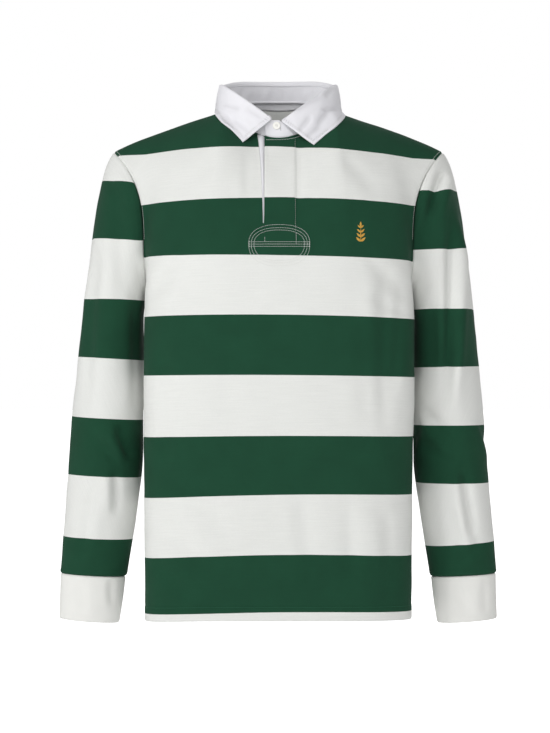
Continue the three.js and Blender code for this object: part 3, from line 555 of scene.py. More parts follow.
def panel_row(is_front, row, share):
    """Points of a panel at a row, counted from the hem, and at shares of its half width"""
    if row <= LOWER_ROWS:
        return half_level(is_front, row / BODY_STEPS, share)
    v = (row - LOWER_ROWS) / UPPER_ROWS
    size = np.abs(share)
    quarter = v * math.pi / 2

    def risen(low, top, roll):
        y_share = mix(v ** RISE, 1 - math.cos(quarter), roll)
        z_share = mix(v, math.sin(quarter), roll)
        x = mix(low[..., 0], top[..., 0], v)
        return points(x, mix(low[..., 1], top[..., 1], y_share), mix(low[..., 2], top[..., 2], z_share))

    middle = ease(1 - clamp01(size / NECK_SHARE))
    chest = half_level(is_front, CHEST_LEVEL, share)
    line = risen(chest, top_points(is_front, share), mix(1, FRONT_ROLL if is_front else BACK_ROLL, middle))
    swell = -SWELL_FRONT if is_front else SWELL_BACK
    line[:, 1] += swell * math.sin(v * math.pi) * (1 - size ** 3)
    for side in (-1, 1):
        end = np.array([float(side)])
        pull = armhole_point(is_front, side, row - LOWER_ROWS)
        pull = pull - risen(half_level(is_front, CHEST_LEVEL, end), top_points(is_front, end), 1)[0]
        here = np.sign(share) == side
        line[here] += pull * (size[here] ** ARMHOLE_PULL)[:, None]
    return line


# Grids of points, their normals and their creases

def spaced(start, end, step, near):
    """Even places from start to end, with more of them near both ends"""
    even = np.linspace(start, end, round((end - start) / step) + 1)[1:-1]
    even = even[(even > start + near[-1] * 1.4) & (even < end - near[-1] * 1.4)]
    close = np.array([0, *near])
    return np.concatenate([start + close, even, (end - close)[::-1]])


def grid_normals(grid, outside_of):
    """Unit normals of a grid that face away from outside_of, its axis"""
    normals = unit(np.cross(np.gradient(grid, axis=1), np.gradient(grid, axis=0)))
    flip = (normals * (grid - outside_of)).sum()
    return normals if flip > 0 else -normals


def smoothed(grid, weight, passes):
    """Grid with each row drawn towards the mean of its neighbours by its weight"""
    for _ in range(passes):
        mean = grid.copy()
        mean[1:-1] = (grid[:-2] + grid[2:]) / 2
        grid = mix(grid, mean, weight)
    return grid


def crease(here, start, middle, end, width_a, width_b, deep, beside):
    """Depth of one crease at places (across, height): a trough, and a ridge beside it"""
    t = np.linspace(0, 1, CREASE_STEPS + 1)[:, None]
    path = (1 - t) ** 2 * np.array(start) + 2 * t * (1 - t) * np.array(middle) + t * t * np.array(end)
    apart = here[..., None, :] - path
    nearest = (apart ** 2).sum(-1).argmin(-1)
    share = nearest / CREASE_STEPS
    tangent = unit(np.gradient(path, axis=0))[nearest]
    off = np.take_along_axis(apart, nearest[..., None, None], axis=2)[..., 0, :]
    aside = off[..., 0] * tangent[..., 1] - off[..., 1] * tangent[..., 0]
    beyond = (off * tangent).sum(-1)
    width = mix(width_a, width_b, share)
    fade = ease(clamp01(share / 0.3 + 0.25)) * ease(clamp01((1 - share) / 0.35 + 0.15))
    ridge = abs(beside) * bell(aside, math.copysign(RIDGE_AT, beside) * width, RIDGE_WIDTH * width)
    return deep * (fade * bell(beyond, 0, CREASE_END * width)) * (bell(aside, 0, width) - ridge)


def crease_depth(name, grid, normals):
    """Depth of a piece's creases at its points: how far each goes in"""
    depth = np.zeros(grid.shape[:2])
    facings = {"front": -normals[..., 1], "back": normals[..., 1], "side": np.abs(normals[..., 0])}
    for seen, rows in CREASES.get(name, {}).items():
        across = grid[..., 1] if seen == "side" else grid[..., 0]
        here = np.stack([across, grid[..., 2]], axis=-1)
        for row in rows:
            depth += crease(here, *row) * ease(clamp01(facings[seen] * 1.8))
    return depth


def unevenness(grid, size, seed):
    """Slow irregular swells, about 1 at their highest"""
    rng = np.random.default_rng(seed)
    total = np.zeros(grid.shape[:2])
    for _ in range(9):
        way = unit(rng.normal(size=3) * (1, 1, 0.55))
        wave = size * rng.uniform(0.7, 1.8)
        total += np.sin(grid @ way * (2 * math.pi / wave) + rng.uniform(0, 2 * math.pi))
    return total / 4


def edge_distance(grid, axis, end):
    """Distance of each point from the grid's first (end 0) or last (end 1) row or column"""
    lengths = np.linalg.norm(np.diff(grid, axis=axis), axis=-1)
    pad = [(0, 0), (0, 0)]
    pad[axis] = (1, 0)
    along = np.pad(np.cumsum(lengths, axis=axis), pad)
    return along if end == 0 else np.take(along, [-1], axis=axis) - along


def dress(name, grid, axis_of, uneven, seed, seams, hold=14):
    """Presses creases into a grid and rolls its seams in. A seam is (axis, end)."""
    normals = grid_normals(grid, axis_of)
    edge = np.min([edge_distance(grid, axis, end) for axis, end in seams], axis=0)
    free = ease(clamp01(edge / hold))
    depth = crease_depth(name, grid, normals)
    long, short = CLOTH_SWELLS
    depth += uneven * (unevenness(grid, long, seed) + 0.35 * unevenness(grid, short, seed + 1))
    grid = grid - normals * (depth * free)[..., None]
    normals = grid_normals(grid, axis_of)
    roll = SEAM_ROLL * rounded(edge, SEAM_ROLL_WIDTH)
    return {"grid": grid - normals * roll[..., None], "normals": normals}


# Meshes

def make_object(name, verts, faces, attributes, material):
    mesh = bpy.data.meshes.new(name)
    mesh.from_pydata((np.asarray(verts) * MM).tolist(), [], faces)
    for key, values in attributes.items():
        mesh.attributes.new(key, "FLOAT", "POINT").data.foreach_set("value", np.asarray(values, np.float32))
    mesh.polygons.foreach_set("use_smooth", [True] * len(mesh.polygons))
    mesh.materials.append(material)
    mesh.validate()
    mesh.update()
    piece = bpy.data.objects.new(name, mesh)
    bpy.context.scene.collection.objects.link(piece)
    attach(piece, "root")
    return piece


def shell(name, surface, thickness, attributes, material, holes=None):
    """Closed cloth between a surface and the same surface moved in. holes marks cells left out."""
    grid, normals = surface["grid"], surface["normals"]
    rows, columns = grid.shape[:2]
    count = rows * columns
    ids = np.arange(count).reshape(rows, columns)
    kept = np.ones((rows - 1, columns - 1), bool) if holes is None else ~holes
    quads = np.stack([ids[:-1, :-1], ids[:-1, 1:], ids[1:, 1:], ids[1:, :-1]], axis=-1)
    a, b, c = (grid.reshape(-1, 3)[quads[..., k]] for k in range(3))
    around = unit(np.cross(b - a, c - a))
    if (around * normals[:-1, :-1]).sum() < 0:
        quads = quads[..., ::-1]
    quads = quads[kept]
    inner = quads[:, ::-1] + count
    edges = {}
    for quad in quads.tolist():
        for k in range(4):
            edges[(quad[k], quad[(k + 1) % 4])] = True
    rims = [(b, a, a + count, b + count) for a, b in edges if (b, a) not in edges]
    verts = np.concatenate([grid.reshape(-1, 3), (grid - normals * thickness).reshape(-1, 3)])
    used = np.unique(np.concatenate([quads.ravel(), inner.ravel()]))
    renamed = np.full(len(verts), -1)
    renamed[used] = np.arange(len(used))
    faces = [tuple(renamed[list(face)]) for face in [*quads.tolist(), *inner.tolist(), *rims]]
    both = {key: np.tile(np.asarray(v).ravel(), 2)[used] for key, v in attributes.items()}
    return make_object(name, verts[used], faces, both, material)


def cloth_lengths(grid):
    """How far each point lies across and along the cloth"""
    across = edge_distance(grid, 1, 0)
    middle = grid.shape[1] // 2
    return across - across[:, [middle]], edge_distance(grid, 0, 0)


def surface_of(grid, normals, **more):
    across, along = cloth_lengths(grid)
    return {"grid": grid, "normals": normals, "across": across, "along": along, **more}


def make_cloth(node, surface, thickness, material, slot, holes=None, **sheet):
    attributes = {key: surface[key] for key in ("stripe", "across", "along", "shade") if key in surface}
    piece = shell(f"{node}_cloth", surface, thickness, attributes, material, holes)
    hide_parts(node)
    return piece


# Materials

class Nodes:
    """Short way to build a material's nodes"""

    def __init__(self, name):
        self.material = bpy.data.materials.new(name)
        self.material.use_nodes = True
        self.tree = self.material.node_tree
        self.shader = self.tree.nodes["Principled BSDF"]

    def put(self, socket, value):
        if isinstance(value, bpy.types.NodeSocket):
            self.tree.links.new(value, socket)
        elif value is not None:
            socket.default_value = value

    def node(self, kind, inputs=(), **settings):
        made = self.tree.nodes.new(kind)
        for key, value in settings.items():
            setattr(made, key, value)
        for socket, value in dict(inputs).items():
            self.put(made.inputs[socket], value)
        return made

    def math(self, operation, a, b=None, c=None):
        return self.node("ShaderNodeMath", {0: a, 1: b, 2: c}, operation=operation).outputs[0]

    def attribute(self, name):
        return self.node("ShaderNodeAttribute", attribute_name=name).outputs["Fac"]

    def mix(self, share, a, b, blend="MIX"):
        inputs = {0: share, 6: a, 7: b}
        return self.node("ShaderNodeMix", inputs, data_type="RGBA", blend_type=blend).outputs[2]

    def noise(self, scale, detail=3.0):
        place = self.node("ShaderNodeTexCoord").outputs["Object"]
        inputs = {"Vector": place, "Scale": scale, "Detail": detail}
        return self.node("ShaderNodeTexNoise", inputs).outputs["Fac"]

    def grey(self, value):
        return self.node("ShaderNodeCombineColor", {0: value, 1: value, 2: value}).outputs[0]

    def finish(self, colour, height, strength, depth, roughness, sheen=0.0):
        self.put(self.shader.inputs["Base Color"], colour)
        self.put(self.shader.inputs["Specular IOR Level"], 0.2)
        self.put(self.shader.inputs["Roughness"], roughness)
        self.put(self.shader.inputs["Sheen Weight"], sheen)
        if height is not None:
            bump = self.node("ShaderNodeBump", {"Strength": strength, "Distance": depth, "Height": height})
            self.put(self.shader.inputs["Normal"], bump.outputs["Normal"])
        return self.material


def shades(colour, low, high):
    """Two shades of a colour"""
    return [(*[channel * share for channel in colour], 1) for share in (low, high)]


def knit_height(n, across, along):
    """Height of stocking stitch: columns of V-shaped loops"""
    place = n.math("FRACT", n.math("DIVIDE", across, WALE))
    aside = n.math("ABSOLUTE", n.math("SUBTRACT", place, 0.5))
    wale = n.math("SUBTRACT", 1.0, n.math("MULTIPLY", n.math("MULTIPLY", aside, aside), 3.4))
    phase = n.math("ADD", n.math("DIVIDE", along, COURSE), n.math("MULTIPLY", aside, 1.7))
    loop = n.math("SINE", n.math("MULTIPLY", phase, 2 * math.pi))
    return n.math("MULTIPLY", wale, n.math("MULTIPLY_ADD", loop, 0.22, 0.78))


def jersey_material():
    n = Nodes("striped_jersey")
    across, along = n.attribute("across"), n.attribute("along")
    number = n.math("FLOOR", n.attribute("stripe"))
    odd = n.math("FLOORED_MODULO", number, 2.0)
    height = knit_height(n, across, along)
    mottle = n.noise(26.0, 4.0)
    fine = n.noise(900.0, 2.0)
    white = n.mix(n.math("MULTIPLY", mottle, 0.10), *shades(WHITE, 1, 0.86))
    green = n.mix(mottle, *shades(GREEN, 0.88, 1.16))
    colour = n.mix(odd, green, white)
    # Painted shade: the colour darkens in the knit's grooves, where the loops' height is low; the fine and
    # streaked noise below add random tone
    shade = n.math("MULTIPLY_ADD", height, 0.16, 0.86)
    shade = n.math("MULTIPLY_ADD", n.math("SUBTRACT", fine, 0.5), 0.10, shade)
    stretched = {0: n.math("MULTIPLY", across, 0.045), 1: along}
    place = n.node("ShaderNodeCombineXYZ", stretched).outputs[0]
    streak = n.node("ShaderNodeTexNoise", {"Vector": place, "Scale": 0.55, "Detail": 3.0}).outputs["Fac"]
    shade = n.math("MULTIPLY_ADD", n.math("SUBTRACT", streak, 0.5), 0.10, shade)
    colour = n.mix(1.0, colour, n.grey(shade), "MULTIPLY")
    return n.finish(colour, height, 0.5, 0.00025, 0.92, sheen=0.02)


def plain_knit_material():
    n = Nodes("cuff_knit")
    height = knit_height(n, n.attribute("across"), n.attribute("along"))
    mottle = n.noise(30.0, 4.0)
    colour = n.mix(mottle, *shades(CUFF_WHITE, 1, 0.95))
    return n.finish(colour, height, 0.45, 0.00025, 0.92, sheen=0.02)


def twill_material():
    n = Nodes("white_twill")
    across, along = n.attribute("across"), n.attribute("along")
    slant = n.math("ADD", across, n.math("MULTIPLY", along, 1.25))
    line = n.math("SINE", n.math("MULTIPLY", slant, 2 * math.pi / 1.3))
    weft = n.math("SINE", n.math("MULTIPLY", along, 2 * math.pi / 0.5))
    height = n.math("ADD", n.math("MULTIPLY", line, 0.5), n.math("MULTIPLY", weft, 0.2))
    mottle = n.noise(40.0, 4.0)
    colour = n.mix(mottle, *shades(TWILL_WHITE, 1, 0.955))
    # Painted shade: the colour darkens in the twill's grooves, and by the shade attribute in the leaf's
    # pucker valleys and crease troughs
    shade = n.math("MULTIPLY_ADD", line, 0.02, 0.98)
    shade = n.math("SUBTRACT", shade, n.math("MULTIPLY", n.attribute("shade"), 0.3))
    colour = n.mix(1.0, colour, n.grey(shade), "MULTIPLY")
    return n.finish(colour, height, 0.5, 0.0002, 0.85, sheen=0.02)


def thread_material(name, shade):
    n = Nodes(name)
    fuzz = n.noise(1500.0, 2.0)
    colour = n.mix(fuzz, *shades(shade, 1, 1.1))
    return n.finish(colour, fuzz, 0.2, 0.0001, 0.7)


def button_material():
    n = Nodes("button_resin")
    swirl = n.noise(160.0, 3.0)
    colour = n.mix(swirl, *shades(BUTTON_WHITE, 1, 1.1))
    return n.finish(colour, None, 0, 0, 0.45)


jersey = jersey_material()
plain_knit = plain_knit_material()
twill = twill_material()
thread = thread_material("white_thread", THREAD_WHITE)
green_thread = thread_material("green_thread", THREAD_GREEN)
gold_thread = thread_material("gold_thread", THREAD_GOLD)
grey_thread = thread_material("grey_thread", THREAD_GREY)
resin = button_material()


# Body panels

fine_rows = np.concatenate([
    spaced(0, LOWER_ROWS, ROW_STEP, HEM_ROWS)[:-4],
    spaced(LOWER_ROWS, ROWS, UPPER_ROW_STEP, EDGE_ROWS)[3:],
])
side_shares = spaced(-1, 1, SHARE_STEP, EDGE_SHARES)


def slit_edges(row):
    """X of the slit's right and left edge at a row"""
    rise = clamp01((row - (ROWS - SLIT_ROWS)) / SLIT_ROWS)
    right = mix(SLIT_RIGHT_FOOT, SLIT_RIGHT_TOP, rise ** SLIT_BOW)
    return right, mix(SLIT_LEFT_FOOT, SLIT_LEFT_TOP, rise)


def front_shares(row):
    """Shares of the front's columns at a row, which run along both edges of the slit"""
    scale = panel_row(True, row, np.array([SLIT_PROBE]))[0, 0] / SLIT_PROBE
    right, left = (x / scale for x in slit_edges(row))
    lower = side_shares[side_shares < -SLIT_REACH]
    upper = side_shares[side_shares > SLIT_REACH]
    near_right = mix(-SLIT_REACH, right, 1 - (1 - np.linspace(0, 1, SLIT_COLUMNS_RIGHT)) ** 1.6)
    near_left = mix(left, SLIT_REACH, np.linspace(0, 1, SLIT_COLUMNS_LEFT) ** 1.4)
    return np.concatenate([lower, near_right, near_left, upper])


def stripe_numbers(grid, is_front):
    """Stripe number at each point of a panel, from its height and its place across"""
    share = clamp01((grid[..., 0] / STRIPE_REACH + 1) / 2) * 2 - 1
    middle = BODY_STRIPES["front" if is_front else "back"]
    left, right = BODY_STRIPES["left"], BODY_STRIPES["right"]
    numbers = np.empty(grid.shape[:2])
    for index in np.ndindex(*numbers.shape):
        s = share[index]
        heights = middle * (1 - s * s) + left * s * (s + 1) / 2 + right * s * (s - 1) / 2
        numbers[index] = np.interp(grid[index][2], heights, BODY_STRIPES["number"])
    return numbers


def body_axis(grid):
    """Places inside the body that the grid's normals face away from"""
    return grid * (0, 0, 1) - (0, 0, 60)


def smoothed_across(grid):
    """Smooths the depth of the rows above the chest from side to side, clear of the seams"""
    below_top = ease(clamp01((edge_distance(grid, 0, 1) - SEAM_KEPT) / SEAM_REACH))
    above_chest = ease(clamp01(fine_rows - LOWER_ROWS))[:, None]
    inside = np.minimum(edge_distance(grid, 1, 0), edge_distance(grid, 1, 1))
    weight = (below_top * above_chest * ease(clamp01(inside / SEAM_REACH))).T[..., None] * SMOOTHING
    depth = smoothed(grid[..., 1:2].transpose(1, 0, 2), weight, UPPER_PASSES)
    grid[..., 1:2] = depth.transpose(1, 0, 2)


def make_panel(name, is_front):
    rows = [panel_row(is_front, row, front_shares(row) if is_front else side_shares) for row in fine_rows]
    near_chest = bell(fine_rows, LOWER_ROWS, CHEST_SPREAD)[:, None, None]
    grid = smoothed(np.array(rows), near_chest * SMOOTHING, CHEST_PASSES)
    smoothed_across(grid)
    stripe = stripe_numbers(grid, is_front)
    if is_front:
        x = grid[..., 0]
        reach = SHOULDER_WHITE * clamp01((SHOULDER_WHITE_END - x) / 30) * (x > NECK_SIDE[0])
        stripe = np.where(edge_distance(grid, 0, 1) < reach, WHITE_NUMBER, stripe)
    across, along = cloth_lengths(grid)
    seams = [(1, 0), (1, 1), (0, 1)]
    surface = dress(name, grid, body_axis(grid), UNEVEN[name], SEEDS[name], seams)
    surface |= {"stripe": stripe, "across": across, "along": along}
    hem_fold(surface)
    return surface


def hem_fold(surface):
    """Rounds the hem's lower edge and sinks its stitch line"""
    height = edge_distance(surface["grid"], 0, 0)
    groove = 0.45 * bell(height, HEM_STITCH, 1.6)
    proud = FOLD_PROUD * clamp01((HEM_STITCH - height) / 2)
    sunk = 1.1 * rounded(height, 2.2) + groove - proud
    surface["grid"] = surface["grid"] - surface["normals"] * sunk[..., None]


front = make_panel("front", True)
back = make_panel("back", False)
slit = np.zeros((len(fine_rows) - 1, front["grid"].shape[1] - 1), bool)
slit_column = int((side_shares < -SLIT_REACH).sum()) + SLIT_COLUMNS_RIGHT - 1
slit[(fine_rows[:-1] + fine_rows[1:]) / 2 > ROWS - SLIT_ROWS, slit_column] = True
front_cloth = make_cloth(
    "front", front, JERSEY, jersey, "jersey", slit,
    flat=(0.56, 0.76), held="hung", rests_on=["back_cloth"], area=0.375,
)
back_cloth = make_cloth(
    "back", back, JERSEY, jersey, "jersey",
    flat=(0.56, 0.78), held="hung", rests_on=["front_cloth"], area=0.335,
)


# Sleeves and cuffs

def make_tube(name, rows, step, near, side, uneven, seed, seams):
    """Surface of a sleeve or cuff, and its plain grid without creases"""
    places = spaced(0, len(rows["depth"]) - 1, step, near)
    turns = spaced(-180, 180, 360 / AROUND, AROUND_EDGES)
    grid = np.array([tube_points(rows, at, turns, side) for at in places])
    grid[..., 0] += side * SLEEVE_CLEAR
    middles = grid.mean(axis=1, keepdims=True)
    if side < 0:
        grid = grid[:, ::-1]
    across, along = cloth_lengths(grid)
    surface = dress(name, grid, middles, uneven, seed, seams, hold=9)
    return surface | {"across": across, "along": along}, grid


def sleeve_stripes(grid, name):
    """Stripe number at each point of a sleeve: boundaries run level, from its outer to its inner edge"""
    stripes = SLEEVE_STRIPES[name]
    size = np.abs(grid[..., 0])
    share = clamp01((size - size.min(axis=1, keepdims=True)) / np.ptp(size, axis=1, keepdims=True))
    numbers = np.empty(size.shape)
    for index in np.ndindex(*size.shape):
        heights = mix(stripes["inner"], stripes["outer"], share[index])
        beyond = -1 + (heights[0] + 70 - grid[index][2]) / 70
        inside = np.interp(-grid[index][2], -heights, stripes["number"])
        numbers[index] = beyond if grid[index][2] > heights[0] else inside
    return numbers


for name, side in (("right", -1), ("left", 1)):
    sleeve, plain = make_tube(
        f"sleeve_{name}", SLEEVE, SLEEVE_ROW_STEP, SLEEVE_EDGE_ROWS, side, UNEVEN["sleeve"],
        SEEDS[name], [(0, 0), (0, 1), (1, 0), (1, 1)],
    )
    sleeve["stripe"] = np.maximum(sleeve_stripes(plain, name), -0.99)
    cuff, _ = make_tube(
        f"cuff_{name}", CUFF, CUFF_ROW_STEP, CUFF_EDGE_ROWS, side, UNEVEN["cuff"],
        SEEDS[name] + CUFF_SEED, [(0, 0), (1, 0), (1, 1)],
    )
    sunk = 1.3 * rounded(edge_distance(cuff["grid"], 0, 1), 2.6)
    cuff["grid"] = cuff["grid"] - cuff["normals"] * sunk[..., None]
    sleeve_cloth = make_cloth(
        f"sleeve_{name}", sleeve, JERSEY, jersey, "jersey",
        flat=(0.42, 0.61), held="hung", rests_on=["front_cloth", "back_cloth"], area=0.172,
    )
    make_cloth(
        f"cuff_{name}", cuff, CUFF_THICKNESS, plain_knit, "cuff_cotton",
        flat=(0.235, 0.067), held="hung", rests_on=[sleeve_cloth.name], area=0.0148,
    )


# Placket

def on_front(row, x):
    """Place on the front at a fractional row and several X"""
    at = np.interp(row, fine_rows, np.arange(len(fine_rows)))
    low = min(int(at), len(fine_rows) - 2)
    t = at - low
    line = mix(front["grid"][low], front["grid"][low + 1], t)
    facing = mix(front["normals"][low], front["normals"][low + 1], t)
    number = mix(front["stripe"][low], front["stripe"][low + 1], t)
    order = line[:, 0]
    place = np.stack([x, np.interp(x, order, line[:, 1]), np.interp(x, order, line[:, 2])], axis=-1)
    normal = unit(np.stack([np.interp(x, order, facing[:, k]) for k in range(3)], axis=-1))
    return place, normal, np.interp(x, order, number)


def make_strip(rows, xs, lift):
    """Strip on the front at rows and several X. lift says how far each place stands off."""
    places, facings, numbers = [], [], []
    for row in rows:
        place, facing, number = on_front(row, xs)
        places.append(place)
        facings.append(facing)
        numbers.append(number)
    grid, normals = np.array(places), np.array(facings)
    grid = grid + normals * lift(grid, np.asarray(rows)[:, None])[..., None]
    return surface_of(grid, normals, stripe=np.array(numbers))


def overlap_lift(grid, row):
    x = grid[..., 0]
    edge = clamp01((x - OVERLAP_EDGE) / 1.6)
    left = clamp01((OVERLAP_END - x) / (OVERLAP_END - OVERLAP_STITCH + 1.5))
    foot = clamp01((row - (ROWS - OVERLAP_FOOT_ROWS)) / 0.16)
    groove = 0.4 * bell(x, OVERLAP_STITCH, 2.0)
    round_edge = 0.9 * (1 - np.sqrt(clamp01(1 - (1 - edge) ** 2)))
    return OVERLAP_PROUD * ease(left) * ease(foot) - round_edge * ease(foot) - groove - 0.25


def facing_lift(grid, row):
    """The underlap lies behind the front, and bulges forward where the slit is wide"""
    right = slit_edges(row)[0]
    half = np.maximum((OVERLAP_EDGE - right) / 2, 0.5)
    aside = (grid[..., 0] - right - half) / half
    return FACING_DEPTH + FACING_BULGE * (half / 5.5) * clamp01(1 - aside ** 2)


def rows_to_neck(count):
    """Rows of the front from so many below the neck seam up to it"""
    return spaced(ROWS - count, ROWS - STRIP_TOP_GAP, STRIP_STEP, STRIP_EDGE_ROWS)


overlap_xs = np.concatenate([
    OVERLAP_EDGE + np.array([0, 0.3, 0.8, 1.6]),
    np.linspace(OVERLAP_EDGE + 4, OVERLAP_STITCH - 3, 11),
    OVERLAP_STITCH + np.array([-1.8, -0.9, 0, 0.9, 1.8, 2.9, 4.0]),
])
overlap = make_strip(rows_to_neck(OVERLAP_FOOT_ROWS), overlap_xs, overlap_lift)
overlap_cloth = make_cloth(
    "placket", overlap, OVERLAP_THICKNESS, jersey, "jersey",
    flat=(0.048, 0.17), held="laid", rests_on=["front_cloth"],
)
facing_xs = np.concatenate([
    np.linspace(FACING_RIGHT, OVERLAP_EDGE, 26),
    np.linspace(OVERLAP_EDGE + 4, FACING_LEFT, 10),
])
facing = make_strip(rows_to_neck(FACING_ROWS), facing_xs, facing_lift)
del facing["stripe"]
facing_cloth = make_cloth(
    "placket_facing", facing, TWILL, twill, "twill",
    flat=(0.056, 0.165), held="laid", rests_on=["front_cloth"],
)


# Collar

def fold_points(angle):
    """Line where the leaf turns over"""
    sine, cosine = sine_cosine(angle)
    size = np.abs(cosine)
    behind = cosine > 0
    y = mix(FOLD["side_y"], np.where(behind, FOLD["back_y"], FOLD["front_y"]), size)
    back_z = mix(FOLD["side_z"], FOLD["back_z"], ease(size))
    front_z = mix(FOLD["front_z"], FOLD["side_z"], np.abs(sine))
    return points(FOLD["side_x"] * sine, y, np.where(behind, back_z, front_z))


def leaf_edge_points(angle):
    """The leaf's outer edge, from one point round the back to the other"""
    sine, cosine = sine_cosine(angle)
    point_sine, point_cosine = sine_cosine(LEAF_POINT)
    behind = cosine > 0
    back_y = mix(LEAF_EDGE["side_y"], LEAF_EDGE["back_y"], cosine)
    front_y = mix(LEAF_EDGE["side_y"], LEAF_EDGE["point_y"], cosine / point_cosine)
    slope = np.where(sine > 0, LEAF_SLOPE["left"], LEAF_SLOPE["right"])
    drop = ((1 - np.abs(sine)) / (1 - point_sine)) ** slope
    front_z = mix(LEAF_SIDE_Z, np.where(sine > 0, LEAF_POINT_Z["left"], LEAF_POINT_Z["right"]), drop)
    back_z = mix(LEAF_SIDE_Z, LEAF_EDGE["back_z"], ease(clamp01(cosine)))
    y, z = np.where(behind, back_y, front_y), np.where(behind, back_z, front_z)
    return points(LEAF_EDGE["side_x"] * sine, y, z)


def outward(angle):
    """Level way out from the collar's ring"""
    ahead = fold_points(angle + 1) - fold_points(angle - 1)
    return unit(points(-ahead[..., 1], ahead[..., 0], 0))


def lap_offset(angle):
    """How far out the collar stands where its two ends lap"""
    share = ease(clamp01((np.abs(angle) - STAND_LAP_FROM) / (STAND_LAP_TO - STAND_LAP_FROM)))
    return np.sign(angle) * STAND_LAP_SPREAD * share


def seam_height(angle):
    """Height of the seam between the stand and the leaf"""
    return np.maximum(fold_points(angle)[..., 2] - LEAF_RISE, STAND_LAP_TOP + SEAM_SLACK)


def stand_tops(angle):
    place = fold_points(angle)
    lapped = (angle < LEAF_RIGHT_END) | (angle > LEAF_LEFT_END)
    corner = clamp01((angle - STAND_CORNER) / (STAND_END - STAND_CORNER))
    drop = STAND_CORNER_DROP * (1 - np.sqrt(1 - corner ** 2))
    shown = ease(clamp01((angle - LEAF_LEFT_END) / 1.2)) * (angle > LEAF_LEFT_END)
    place[..., 2] = np.where(lapped, STAND_LAP_TOP - drop + STAND_RISE * shown, seam_height(angle))
    return place + outward(angle) * (lap_offset(angle) - LEAF_ROLL + TWILL / 2)[..., None]


def make_stand():
    angles = np.concatenate([
        np.linspace(-STAND_END, STAND_CORNER, STAND_COLUMNS),
        np.linspace(STAND_CORNER + 0.5, STAND_END, STAND_END_COLUMNS),
    ])
    feet = neck_points(180 - angles) + outward(angles) * (lap_offset(angles) + STAND_OUT)[:, None]
    feet[:, 2] -= STAND_DOWN
    tops = stand_tops(angles)
    shares = np.concatenate([[0, 0.03, 0.07], np.linspace(0.12, 0.88, 14), [0.93, 0.97, 1]])
    grid = np.array([mix(feet, tops, share) for share in shares])
    normals = grid_normals(grid, np.array([0, 0, 0]))
    rounding = 0.5 * np.exp(-shares / 0.03) + 0.3 * np.exp(-(1 - shares) / 0.03)
    creases = crease_depth("collar_stand", grid, normals) * np.sin(shares * math.pi)[:, None]
    grid -= normals * (rounding[:, None] + creases)[..., None]
    return surface_of(grid, normals)


stand = make_stand()
stand_cloth = make_cloth(
    "collar_stand", stand, TWILL, twill, "twill",
    flat=(0.49, 0.036), held="hung", rests_on=["front_cloth", "back_cloth"], area=0.0118,
)


def tree_of(*objects):
    """Search tree of some cloth, in millimetres, for lines of sight"""
    verts, faces = [], []
    for piece in objects:
        base = len(verts)
        verts += [v.co / MM for v in piece.data.vertices]
        faces += [[base + i for i in p.vertices] for p in piece.data.polygons]
    return BVHTree.FromPolygons(verts, faces)


body_tree = tree_of(front_cloth, back_cloth, overlap_cloth)


def lifted(place, way, clear):
    """The place, moved out along way until it is clear of the body's cloth"""
    start = Vector(place + way * LOOK_FROM)
    hit, _, _, distance = body_tree.ray_cast(start, Vector(-way))
    if hit is None:
        return place
    return place + way * max(0.0, LOOK_FROM - distance + clear)


def leaf_column(angle):
    """The leaf at an angle: from its seam up, over the roll and down to its edge"""
    share = (angle - LEAF_RIGHT_END) / (LEAF_LEFT_END - LEAF_RIGHT_END)
    at = np.array(angle)
    fold, out, up = fold_points(at), outward(at), np.array([0, 0, 1.0])
    height = fold[2] - seam_height(at)
    roll_height = min(LEAF_ROLL, height * 0.6)
    first = fold + out * (lap_offset(at) - LEAF_ROLL) - up * height
    turns = np.linspace(180, 0, 13) * DEGREE
    roll = [fold + out * LEAF_ROLL * math.cos(t) + up * roll_height * (math.sin(t) - 1) for t in turns]
    edge = leaf_edge_points(np.array(mix(-LEAF_POINT, LEAF_POINT, share)))
    slope = unit(out + up * LEAF_CLIMB * ease(clamp01((130 - abs(angle)) / 30)))
    fall = []
    for t in np.linspace(0, 1, LEAF_FALL_ROWS + 1)[1:]:
        place = mix(roll[-1], edge, t) + out * LEAF_BULGE * math.sin(t * math.pi)
        fall.append(lifted(place, slope, LEAF_CLEAR))
    return [first, mix(first, roll[0], 0.5), *roll, *fall]


def softened(grid, passes, first_row):
    """Smooths the part of a grid below a row, and keeps its outline"""
    for _ in range(passes):
        inside = (grid[:-2, 1:-1] + grid[2:, 1:-1] + grid[1:-1, :-2] + grid[1:-1, 2:]) / 4
        grid[first_row:-1, 1:-1] = inside[first_row - 1:]
        grid[-1, 1:-1] = mix(grid[-1, 1:-1], (grid[-1, :-2] + grid[-1, 2:]) / 2, 0.5)
    return grid


def leaf_puckers(grid, edge):
    """Height of the short waves along the leaf's stitching"""
    beside = edge_distance(grid, 0, 1) <= edge + 0.01
    run = np.where(beside, cloth_lengths(grid)[0], edge_distance(grid, 0, 0))
    strength = 0.55 + 0.45 * np.sin(run / 13 + 2.2 * np.sin(run / 31))
    waves = PUCKER * strength * np.sin(2 * math.pi * run / PUCKER_PITCH + np.sin(run / 7))
    return waves * bell(edge, LEAF_STITCH - 1, 2.6)


